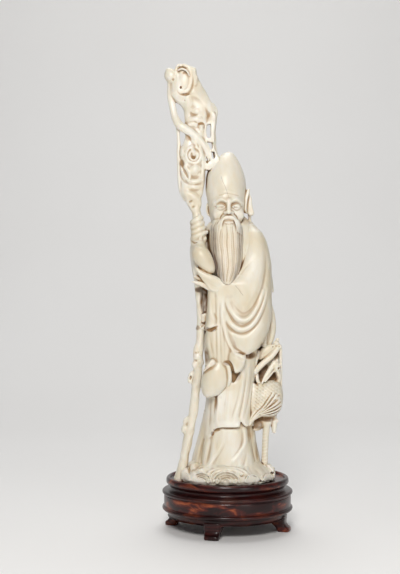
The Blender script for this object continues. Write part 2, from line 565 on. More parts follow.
def carve_robe():
    """The underskirt and the long robe over it."""

    def skirt_fold(angle, z):
        open_out = np.clip((60 - z) / 50, 0, 1)
        front = np.clip(-np.sin(angle), 0, 1) ** 2
        warp = angle + 0.10 * np.sin(3 * angle + z / 14)
        return 3.0 * open_out * (pleats(warp, 11, 0.4) - 0.6) * (1 - 0.9 * front)

    def robe_fold(angle, z):
        behind = np.clip(np.sin(angle) * 1.4 + 0.3, 0, 1)
        fade = np.clip((208 - z) / 60, 0, 1)
        warp = angle + 0.09 * np.sin(3 * angle + z / 32)
        return 2.4 * behind * fade * (pleats(warp, 11, 1.1) - 0.6)

    clay = Clay((-36, -40, 2), (38, 34, 226), 0.6)
    clay.add(tower(ROBE, fold=robe_fold))
    cloth = 1.9
    _, x, y, z = clay.whole()
    hem_rows = [
        [-24, 35], [-17, 36], [-13.8, 38.4], [-12.3, 41.6], [-8.4, 45.2], [-3.7, 45.8], [6.4, 45.8],
        [9.4, 46.4], [10.4, 50.4], [12, 48], [15.3, 45.8], [19.6, 50.1], [26, 52],
    ]
    hem = between(hem_rows, x.ravel())[:, 0]
    hem = hem[:, None, None] + 2.2 * np.sin(x * 0.5) * smooth_step(-6, 8, y)
    clay.field = np.maximum(clay.field, (hem - z).astype(np.float32) * 0.8)
    inner = tower(ROBE, fold=lambda angle, z: robe_fold(angle, z) - cloth)[2](x, y, z)
    hollow = np.maximum(inner, z - hem - 2 * cloth)
    clay.field = np.maximum(clay.field, -hollow.astype(np.float32))

    folds = Relief(clay)
    folds.strokes(
        "fold",
        [
            [1, 88, 3, 0.2], [-5.6, 76, 4, 0.8], [-9.2, 70.3, 4, 1.6], [-8.8, 65.7, 5, 1.7],
            [-10.3, 57.9, 6, 1.2], [-9.4, 48, 6, 0.9],
        ],
        [[13.4, 92, 3, 0.3], [11.6, 80, 4, 1], [8.8, 66, 4.4, 1.2], [5, 54, 4, 0.9], [3.6, 47, 3, 0.3]],
        [[17.4, 98, 3, 0.3], [16.2, 84, 4, 1.1], [13.4, 66, 4.4, 1.3], [10.6, 52, 4, 1.1]],
        [[21.4, 100, 3, 0.3], [20.6, 84, 3, 0.7], [17.6, 66, 4, 0.9], [13.4, 50, 4, 0.9]],
    )
    folds.strokes(
        "groove",
        [[-9.4, 74, 1, 0.4], [-9.6, 68, 1.6, 1.6], [-10.6, 60, 1.6, 1.6], [-10.8, 54, 1.2, 0.4]],
        [[-15.5, 40, 1.8, 0.6], [-14.5, 58, 2, 0.9], [-13.6, 70, 2, 0.5]],
        [[9.8, 57, 0.8, 0.2], [10.2, 50, 1.1, 1.2]], [[11.2, 53, 0.6, 0.2], [12.6, 47, 0.9, 0.9]],
        [[0, 80, 1.4, 0.1], [-2.2, 66, 2, 0.5], [-3.4, 52, 1.6, 0.3]],
        [[16.4, 204, 0.9, 0.2], [14.4, 190, 1.1, 0.7], [12.4, 176, 1, 0.3]],
        [[20, 205, 0.9, 0.2], [18, 192, 1.1, 0.6], [15.4, 178, 1, 0.2]],
    )
    folds.strokes(
        "ridge", [[2.6, 80, 4, 0.2], [0.6, 66, 5, 0.6], [-1.6, 50, 6, 0.4]],
        [[-18, 40, 3, 0.4], [-16.6, 60, 3, 0.6], [-15, 72, 2, 0.1]],
        [[7, 47, 1.4, 0.4], [8.4, 47.6, 1.4, 0.8], [9, 51, 1.2, 0.3]],
    )
    folds.soften(1)
    clay.press(folds)

    under = clay.blank((-36, -40, 2), (38, 34, 64))
    under.add(tower(SKIRT, fold=skirt_fold))
    drape = Relief(under)
    drape.strokes(
        "fold",
        [
            [-17.7, 13, 5, 0.9], [-11.5, 20.6, 6, 1.1], [-7.6, 26.8, 7, 1.1], [-4.5, 33, 7, 0.8],
            [-3.4, 42, 6, 0.3],
        ],
        [
            [13, 45, 6, 0.9], [13.8, 40, 7, 1.6], [13.6, 34, 8, 2], [11.8, 29, 9, 1.9],
            [7.9, 23.4, 9, 1.5], [3.4, 18.4, 7, 0.8],
        ],
    )
    drape.strokes(
        "ridge", [[-14.6, 14, 2.6, 0.3], [-12.4, 26, 2.6, 0.7], [-11, 40, 2.4, 0.3]],
        [[-20.4, 14, 2.4, 0.5], [-18, 27, 2.4, 0.7], [-15.6, 38, 2, 0.2]],
        [[14.6, 12, 2.4, 0.5], [16.4, 22, 2.2, 0.6], [17.4, 32, 1.6, 0.1]],
        [[19.2, 12, 2.2, 0.5], [18.8, 24, 2, 0.6], [18.2, 33, 1.6, 0.1]],
        [[8.6, 12, 2.4, 0.5], [11.4, 19, 2.4, 0.6], [14.6, 28, 1.8, 0.1]],
        [[23.6, 13, 2.2, 0.5], [21.6, 24, 2, 0.6], [19.6, 34, 1.6, 0.1]],
    )
    drape.strokes(
        "groove", [[-25, 14, 1.4, 0.7], [-22, 28, 1.4, 0.9], [-19.4, 38, 1.2, 0.3]],
        [[-17.4, 16, 1.2, 0.4], [-14.6, 28, 1.3, 0.6], [-12.8, 38, 1, 0.2]],
        [[16.6, 44, 3, 1.6], [17.4, 38, 3.6, 2], [17.8, 31, 2.4, 0.6]],
        [[21, 44, 2.4, 1.2], [21.2, 38, 2.4, 1.2], [20.8, 31, 1.4, 0.3]],
    )
    drape.soften(1)
    under.press(drape)
    under.cut(limb([[-27.4, -24, 14.6, 1.4], [-23.6, -28, 13.8, 1.8], [-19, -31, 13.4, 1.2]]), 0.5)
    clay.join(under, 0.5)
    clay.cut(
        twig([-30, -30.2, -30.4], [-8.6, 73, 1.1], [-9.8, 66.4, 1.2], [-10.4, 59.4, 0.6], flat=2.4), 0.6
    )
    clay.cut(twig([-30, -31.4, -31], [-14, 39.4, 0.8], [-12, 42.6, 1.4], [-7.8, 45, 0.8], flat=2.2), 0.4)
    clay.cut(twig([-29.4, -30.4], [-4.8, 74, 0.8], [-6, 69, 0.4], flat=1.4), 0.8)
    recesses = [
        ([[2.8, 92.4], [9.8, 91.6], [8.4, 88.4], [5.6, 83.2], [3.4, 82.2], [2.2, 86]], -24.6),
        ([[13.4, 106.6], [22.6, 107], [21.6, 103.4], [18.6, 100.2], [15, 100.4]], -24.6),
    ]
    for outline, depth in recesses:
        clay.cut(leaf(outline, -40, depth, 0.8), 0.8)
    return clay


def carve_sleeves():
    """Both sleeves, the cape and the fall of cloth in front, with its lobe and full bag."""
    clay = Clay((-33, -41, 64), (43, 22, 220), 0.5)

    drape = clay.blank((-26, -41, 84), (42, 20, 218))
    drape.add(tower(SLEEVE, rounding=2.4))
    fall = [
        [86, -16, 3, -31, -18], [99, -15.2, 4.4, -31.8, -18], [106, -16.4, 5.2, -32.6, -18],
        [116, -18.2, 5.4, -33.4, -18], [124, -18, 4.6, -33.8, -18], [130, -16.4, 4, -34, -18],
        [146, -15.6, 4, -34.2, -18], [164, -14, 4, -33.4, -18],
    ]
    drape.add(tower(fall, rounding=2), 3.2)
    drape.add(limb([
        [10, -25.4, 161.5, 7], [0, -28, 160.8, 6.2], [-8, -29.2, 160.6, 4.8], [-13, -29.6, 161, 3.6],
    ]), 5)
    lobe = [
        [90, 4.2, 8.4, -32.6, -27], [91.6, 3.2, 10.2, -33.8, -26], [97, 1.2, 13.4, -34.6, -25],
        [102.4, 0, 14.6, -34.8, -24], [105.8, 0, 13.2, -34, -23], [109, 0, 9, -31.8, -22],
        [114, -1, 6.4, -30, -21],
    ]
    drape.add(tower(lobe, rounding=1.4), 1.2)
    cuff_wall = [
        [125.6, -18.8, -9.4, -33.8, -18], [128.4, -18.8, -8.4, -34.8, -18],
        [133, -18.2, -8.6, -34.6, -18], [139, -17.6, -9.6, -34.2, -18], [146, -17.2, -9.6, -33.6, -18],
        [160, -16.6, -9.6, -32.6, -18],
    ]
    drape.add(tower(cuff_wall, rounding=1.4), 2.4)

    swags = Relief(drape)
    swags.strokes(
        "groove",
        [
            [-3.4, 153, 0.6, 0.2], [-2.2, 145, 0.9, 0.8], [0.3, 138.6, 1, 1.3], [4.2, 132.2, 1.1, 1.6],
            [9, 128.9, 1.1, 1.7], [13.4, 129, 1.1, 1.6], [18.6, 132.4, 1, 1.4], [23.8, 139.4, 1, 1.2],
            [28, 148, 0.9, 0.9], [31, 158, 0.8, 0.3],
        ],
        [
            [-1, 145, 0.5, 0.1], [2.4, 137, 0.7, 0.8], [6, 132.4, 0.8, 1.1], [10.6, 130.6, 0.8, 1.1],
            [15, 131.6, 0.8, 1], [20.6, 136.6, 0.7, 0.7], [26, 146, 0.6, 0.2],
        ],
        [
            [-2.6, 132, 1.6, 0.1], [1.4, 126.6, 2.2, 0.8], [6.6, 122.8, 2.6, 1.2],
            [12.6, 122.2, 2.6, 1.3], [18.6, 125.4, 2.4, 1.2], [24.4, 132.2, 2, 1], [29.4, 143, 1.6, 0.8],
            [32.6, 155, 1.2, 0.2],
        ],
        [
            [4, 147, 4, 0.3], [8, 141.4, 5, 1.2], [13, 138.6, 6, 2], [19, 142.6, 6.5, 2.2],
            [24.4, 151, 6, 2], [28.2, 162, 5, 1.6], [30.4, 176, 4, 1.1], [30.6, 192, 3.4, 0.4],
        ],
        [[5.1, 163.5, 1, 0.3], [12.6, 173.4, 1.8, 0.7], [22, 184.9, 1.6, 0.2]],
        [[8.2, 166, 1, 0.2], [16, 174.6, 1.4, 0.4], [26, 186, 1.4, 0.1]],
        [[6.2, 161.2, 0.9, 0.3], [9, 157.4, 1.1, 0.6], [11.5, 153.4, 0.8, 0.2]],
        [[6.2, 105.4, 0.7, 0.4], [8.8, 102.8, 0.9, 1], [12, 101.4, 0.9, 0.9], [14, 101.8, 0.7, 0.3]],
        [
            [-13.8, 156.7, 0.6, 0.1], [-13.4, 146, 0.8, 0.5], [-12.4, 140, 0.9, 0.6],
            [-10.6, 136.4, 0.9, 0.6], [-8.8, 133.4, 0.8, 0.3],
        ],
    )
    swags.strokes(
        "ridge",
        [
            [-1.8, 149, 2, 0.1], [3, 139.6, 2.6, 0.7], [7.4, 134.8, 3, 1.2], [12.4, 133.2, 3.2, 1.4],
            [18, 136, 3, 1.3], [24, 145, 2.6, 1], [28.4, 157, 2.2, 0.5],
        ],
        [
            [-1.2, 135, 2.2, 0.2], [3.4, 128.6, 2.8, 1.1], [8.4, 125.8, 3, 1.4], [13.4, 125.8, 3, 1.4],
            [19, 128.8, 2.8, 1.3], [24.8, 136.4, 2.6, 1.1], [29.4, 147, 2.2, 0.8], [32.2, 159, 1.8, 0.2],
        ],
        [[6, 118.6, 5, 0.3], [13, 117.4, 6, 0.7], [21, 120.6, 5, 0.6], [28, 129, 4, 0.4]],
    )
    swags.strokes(
        "fold",
        [
            [-3.6, 158, 3, 0.1], [-5, 144, 4, 0.7], [-4.8, 134, 4, 1.1], [-3, 125, 4, 1.4],
            [-0.4, 117, 4, 1.6], [3, 109.6, 4, 1.7], [6.4, 105.6, 3.4, 1.3],
        ],
    )
    for x_top, x_low, depth in ((-9.8, -9.4, 0.8), (-6.9, -5.9, 0.75), (-4.6, -3.2, 0.6)):
        pleat = [
            [x_top, 154, 0.9, 0.1], [x_top, 132, 1.2, depth], [x_low, 108, 1.3, depth],
            [x_low, 95, 1.0, 0.2],
        ]
        swags.stroke(pleat, "groove")
    swags.stroke([
        [-14.6, 123, 1.2, 0.2], [-14, 114, 1.6, 0.8], [-12.4, 106, 1.4, 0.6], [-11, 101, 1, 0.2],
    ], "groove")
    swags.soften(1)
    drape.press(swags)
    drape.cut(twig(
        [-33.4, -34.6, -34.8], [-20.4, 124.6, 1.5], [-14.6, 125.2, 1.7], [-9, 128.2, 0.9], flat=2.2
    ), 0.4)
    drape.cut(twig(
        [-34, -35.6, -34.6], [6.4, 107.4, 0.6], [9.4, 107.2, 1.4], [12.4, 106.2, 1.6], [15.2, 104.6, 1.1],
        flat=2.2,
    ), 0.4)
    drape.cut(
        limb([[12, -27, 99.4, 3.6], [17.6, -25.6, 102.6, 3.4], [22.4, -22, 109.6, 2.8]], flat=1.2), 0.5
    )
    clay.join(drape, 0.4)

    cuff = clay.blank((-26, -41, 66), (12, -8, 106))
    bag = [
        [69.4, -18.2, -14.4, -28.4, -23.6], [71.6, -20.2, -8.6, -31, -20], [75, -21.6, -4.4, -32.8, -18],
        [80, -22.3, -0.4, -33.8, -17], [86, -21.6, 1.8, -34, -16], [92, -19.6, 2, -33.4, -17],
        [100, -14.4, 0.2, -31.6, -19],
    ]
    cuff.add(tower(bag, power=2, rounding=2.0), 1.8)
    curl = [
        [-2.8, 97.8, 1.1], [-0.4, 96, 1.6], [1, 91.4, 1.9], [1.3, 86, 1.9], [0.4, 81.6, 1.6],
        [-1.2, 77.6, 0.9],
    ]
    cuff.add(twig([-31.8, -31.2, -30.4, -29, -26], *curl), 0.9)
    cuff.cut(twig([-34.4, -34, -32.6], [-3.4, 96.4, 0.4], [-2, 90.6, 0.6], [-1, 85.6, 0.35]), 0.4)
    flap = [[-21, 90.6], [-16, 93.8], [-10.6, 97.8], [-11.6, 101], [-14, 101], [-17.6, 96.4]]
    cuff.add(leaf(flap, -33.0, -27, 1.6), 1.4)
    cuff.cut(
        twig([-33.4, -35, -34.6], [-21.2, 89.2, 0.6], [-16.2, 92.4, 1], [-11.4, 96.8, 0.6], flat=2.0), 0.4
    )
    clay.join(cuff, 0.4)
    behind_curl = [
        [-2.8, 99.2, 0.6], [-0.2, 99.6, 1], [2.2, 97.2, 1.1], [3.6, 92.6, 1.3], [4.4, 87.6, 1.6],
        [4, 83, 1.2],
    ]
    clay.cut(twig([-34, -33, -31.4, -30.4], *behind_curl, flat=1.8), 0.4)

    cape = [
        [155.5, 34.6, 39.4, 1, 5], [160, 28, 39, 0, 9], [172, 22, 37.6, -1, 14], [188, 18, 35.2, -1, 17],
        [200, 12, 31.4, -1, 17], [209, 8, 26.6, 0, 15], [215.5, 6, 21.5, 1, 12],
    ]
    clay.add(tower(cape, power=2, rounding=1.6), 0.8)
    clay.add(limb([[33, 0, 150, 3], [36, -4, 136, 3.8], [36.4, -6, 123, 3.9], [34, -7, 112, 3]]), 0.8)
    clay.add(limb([[31, -4, 140, 3], [32, -8, 126, 3.4], [30.4, -10, 112, 2.6]]), 0.8)
    clay.cut(limb([[34.4, -9, 141, 0.4], [34.6, -11.6, 128, 0.9], [33, -11.4, 113, 0.9]]), 0.5)

    arm = clay.blank((-33, -28, 86), (-8, 14, 212))
    hang = [
        [124.4, -26.4, -16, -21, -10], [128, -25.4, -15.6, -21.4, -8], [134, -22.8, -15, -17.6, -6],
        [141, -22, -14, -16.8, -4], [150, -22.8, -13, -16.8, -2], [158, -24.6, -13, -17.4, 0],
        [165, -27.4, -13, -20.4, 0], [174, -29.4, -13, -21.4, 0], [188, -31, -14, -20, 2],
        [194, -30.4, -15, -18, 1], [198, -28, -16, -16, 0],
    ]
    arm.add(tower(hang, rounding=2.0, fold=lambda angle, z: 0.3 * np.sin(angle * 5 + z / 30)))
    filler = [
        [88, -18.6, -12, -12, -2], [100, -19, -12, -13.4, -2], [112, -20, -12, -14, -3],
        [128, -22, -12, -16, -3],
    ]
    arm.add(tower(filler), 1.0)
    arm.add(limb([[-12, 2, 204, 9], [-20, -4, 188, 9], [-24, -10, 194, 6.5], [-25, -13, 200, 4.2]]), 3)
    arm.roughen(6, 0.1)
    arm.cut(limb([[-27, -21, 124.6, 1.2], [-24, -22.4, 126.8, 1.7], [-20, -22, 128.6, 1]], flat=1.8), 0.4)
    clay.join(arm, 0.5)
    clay.add(leaf([[-22, 137.6], [-17.6, 138.4], [-17.4, 132.4], [-21.4, 131.4]], -23.0, -16, 1.4), 1.0)
    clay.cut(egg((-20.4, -25.4, 130.6), (1.6, 3, 0.9)), 0.4)
    return clay


def carve_head():
    """The high bald head with a calm, plain face, long ears, moustache and beard."""
    clay = Clay((-21, -41, 156), (26, 20, 278), 0.38)
    skull = clay.blank((-21, -32, 200), (26, 20, 278))
    skull.add(tower(HEAD, power=2, rounding=2.2))
    middle = 0.6
    for side in (-1, 1):

        def at(x, z, out, *size):
            """A spot out in front of the skull's wall."""
            across = middle + side * x
            return [across, front_of(HEAD, across, z, 2) - out, z, *size]

        # Brow, eye socket, cheek, eye, upper and lower lid, and the wing of the nose
        skull.add(
            limb([at(1.8, 230.2, -0.4, 1.3), at(6.6, 231.9, -0.7, 1.6), at(11.4, 229.6, -1.2, 1.1)]), 3
        )
        skull.cut(egg(at(6.3, 227.2, 2.2), (4.4, 2.7, 2.4)), 2.6)
        skull.add(egg(at(8.4, 219.8, -2.2), (4.4, 3.6, 4.4)), 3.6)
        skull.add(egg(at(6.2, 226.4, -1.3), (3.4, 2.3, 2)), 1.2)
        skull.add(
            limb([at(3.1, 225.9, 0.1, 0.4), at(6.1, 227.3, 0.75, 0.5), at(9.5, 226.0, 0.0, 0.4)]), 0.5
        )
        skull.add(
            limb([at(3.5, 225.5, 0.1, 0.3), at(6.2, 224.7, 0.5, 0.45), at(9.1, 225.5, 0.0, 0.3)]), 0.6
        )
        skull.add(egg(at(2.7, 221.0, 0.9), (1.6, 1.9, 1.3)), 0.9)
    nose = [[230.6, 0.1, 1.5], [226.2, 1, 1.5], [222, 2.6, 1.8]]
    skull.add(limb([[middle, front_of(HEAD, middle, z, 2) - out, z, r] for z, out, r in nose]), 1.8)
    skull.add(egg((middle, -24.2, 221.3), (1.9, 1.8, 1.5)), 1.0)
    skull.add(egg((middle, -20.0, 215.4), (6.6, 3.2, 4.4)), 2.6)
    skull.add(egg((middle, -21.2, 209.6), (4.6, 3.2, 3.6)), 2.0)
    lines = Relief(skull)
    for side in (-1, 1):

        def mark(x, z, width, height):
            return [middle + side * x, z, width, height]

        lines.strokes(
            "groove",
            [mark(3.4, 225.5, 0.6, 0.3), mark(6.2, 225.7, 0.7, 0.6), mark(9.2, 225.6, 0.6, 0.3)],
            [mark(3.6, 221.2, 0.9, 0.3), mark(6.2, 218.2, 1.2, 0.8), mark(7.6, 214.4, 1.0, 0.3)],
            [mark(4.2, 223.7, 0.9, 0.1), mark(6.8, 222.9, 1.0, 0.25), mark(9.4, 223.9, 0.8, 0.1)],
            [mark(3.0, 228.4, 0.9, 0.2), mark(6.2, 229.4, 1.0, 0.3), mark(9.6, 228.1, 0.9, 0.1)],
            [mark(10.0, 226.2, 0.6, 0.25), mark(12.0, 227.0, 0.6, 0.1)],
            [mark(10.0, 225.3, 0.6, 0.25), mark(12.0, 224.8, 0.6, 0.1)],
        )
        for shift in np.linspace(-1, 1, 5):
            lines.stroke(
                [
                    mark(2.2, 230.2 + shift * 0.5, 0.5, 0.1),
                    mark(6.6, 232.0 + shift * 0.9, 0.5, 0.35),
                    mark(11.8, 229.4 + shift * 0.6, 0.5, 0.1),
                ]
            )
    lines.strokes(
        "groove", [[-7, 235.6, 1, 0.1], [0.4, 236.8, 1.2, 0.28], [8.6, 235.4, 1, 0.1]],
        [[-5, 239, 1, 0.1], [0.6, 240, 1.2, 0.2], [7, 238.8, 1, 0.1]],
    )
    skull.press(lines)
    for side in (-1, 1):
        skull.cut(egg((middle + side * 1.25, -24.2, 219.8), (0.55, 0.9, 0.5)), 0.2)
    lip = [
        [middle - 3.2, -22.6, 213.2, 0.5], [middle, -23.8, 212.9, 0.95],
        [middle + 3.2, -22.6, 213.2, 0.5],
    ]
    mouth = [
        [middle - 3.6, -23.0, 214.5, 0.4], [middle, -24.3, 214.8, 0.55],
        [middle + 3.6, -23.0, 214.5, 0.4],
    ]
    skull.add(limb(lip), 0.5)
    skull.cut(limb(mouth), 0.3)

    ear = clay.blank((8, -16, 210), (27, 8, 250))
    upper = [
        [18.8, 242.4], [18.5, 239.6], [17.6, 235.8], [16.8, 232.1], [16.5, 227.1], [16, 222.4],
        [13.9, 223.3], [12.7, 227.1], [13.1, 231.4], [14.3, 235.8], [15.6, 240.2], [16.8, 242.1],
    ]
    ear.add(leaf(upper, -10.4, 0.6, 1.8), 0.8)
    lobe = [
        [18.8, 236.8], [20.1, 233.9], [20.5, 230.2], [21.2, 225.8], [22.2, 221.4], [20.9, 219.2],
        [18.5, 219.9], [17, 221.8], [16.5, 227.1], [17, 232.1],
    ]
    ear.add(leaf(lobe, -7.6, 1.6, 1.8), 0.4)
    shell = [
        [13, 222.6], [12.6, 230], [14.2, 238], [16.6, 241], [18.4, 238], [19.8, 232], [20.2, 226],
        [18.6, 221.4],
    ]
    ear.add(leaf(shell, -6.4, 1.4, 1.4), 1.0)
    _, x, y, z = ear.whole()
    outline = egg((17, -4.6, 230.4), (9, 6.2, 12.6))[2](x, y, z)
    ear.field = -smooth_min(-ear.field, -outline.astype(np.float32), 1.6)
    ear.cut(limb([[16.4, -9.4, 222, 0.8], [16.9, -9, 230, 0.8], [18.4, -8.6, 238, 0.4]], flat=2), 0.5)
    ear.cut(limb([[14.4, -11.4, 226, 0.4], [14.9, -11.2, 232, 0.8], [16.9, -11, 239, 0.4]]), 0.8)
    ear.cut(limb([
        [20.6, -3, 236, 0.8], [21.4, -6, 231, 0.9], [22.2, -4.6, 226, 0.9], [21.4, -2.4, 230, 1.2],
    ]), 0.6)
    skull.join(ear, 0.6)
    skull.add(limb([[18.6, 0.4, 221, 1.5], [18.8, 1, 216.6, 1.3], [19.4, 2, 211, 2]]), 0.8)
    skull.add(egg((-15, -2, 224.6), (2, 2.4, 5.2), 6), 0.8)
    near_ear = [
        [-14.6, 219.2, 0.7], [-16.4, 221.6, 0.8], [-17.2, 226, 0.9], [-16.2, 230, 0.9],
        [-14.4, 229.4, 0.7],
    ]
    skull.add(twig([-4.4, -3.4], *near_ear), 0.4)
    skull.cut(twig([-5, -4.4], [-15.4, 222.6, 0.5], [-15.8, 226.2, 0.6], [-15, 228.6, 0.4]), 0.4)
    clay.join(skull, 0.5)

    beard = clay.blank((-18, -41, 156), (17, -3, 222))
    beard.add(tower(BEARD, power=2, rounding=2.0))
    _, x, _, z = beard.whole()
    left, right = between(BEARD, z.ravel())[:, :2].T
    across = (2 * x[:, 0, :] - (left + right)) / (right - left)
    height = z[0]
    locks = Relief(beard)
    wave = 0.10 * np.sin(height * 0.09 + across * 2.0) + 0.04 * np.sin(height * 0.27 + across * 6.0)
    long = smooth_step(219, 208, height)
    broad = np.abs(np.sin(math.pi * (across * 2.6 + wave))) - 0.6
    fine = np.abs(np.sin(math.pi * (across * 7.4 + wave * 3.0 + 0.25 * np.sin(height * 0.2)))) - 0.6
    hair = np.sin(2 * math.pi * (across * 11.6 + wave * 5.0))
    locks.height += (long * (0.40 * broad + 0.22 * fine + 0.09 * hair)).astype(np.float32)
    beard.press(locks)
    tips = 161.6 + 0.10 * (x + 1) ** 2 + 0.6 * np.abs(np.sin(1.5 * x)) + 0.4 * np.sin(3.4 * x)
    beard.field = np.maximum(beard.field, (tips - z).astype(np.float32) * 0.6)
    clay.join(beard, 0.8)

    whiskers = clay.blank((-15, -38, 184), (16, -16, 222))
    for side in (-1, 1):
        for strand in range(6):
            out = middle + side * (0.75 * strand)
            root = [middle + side * 0.7, -23.6, 218.0 - 0.25 * strand, 0.6]
            bend = [out + side * 3.2, -24.0 + 0.18 * strand, 217.2 - 0.6 * strand, 0.7]
            turn = [out + side * 5.4, -24.2 + 0.34 * strand, 213.6 - 0.8 * strand, 0.65]
            tip = [out + side * 7.2, -24.6 + 0.6 * strand, 205.6 - 0.4 * strand, 0.25]
            whiskers.add(limb([root, bend, turn, tip]), 0.5)
    clay.join(whiskers, 0.9)
    return clay


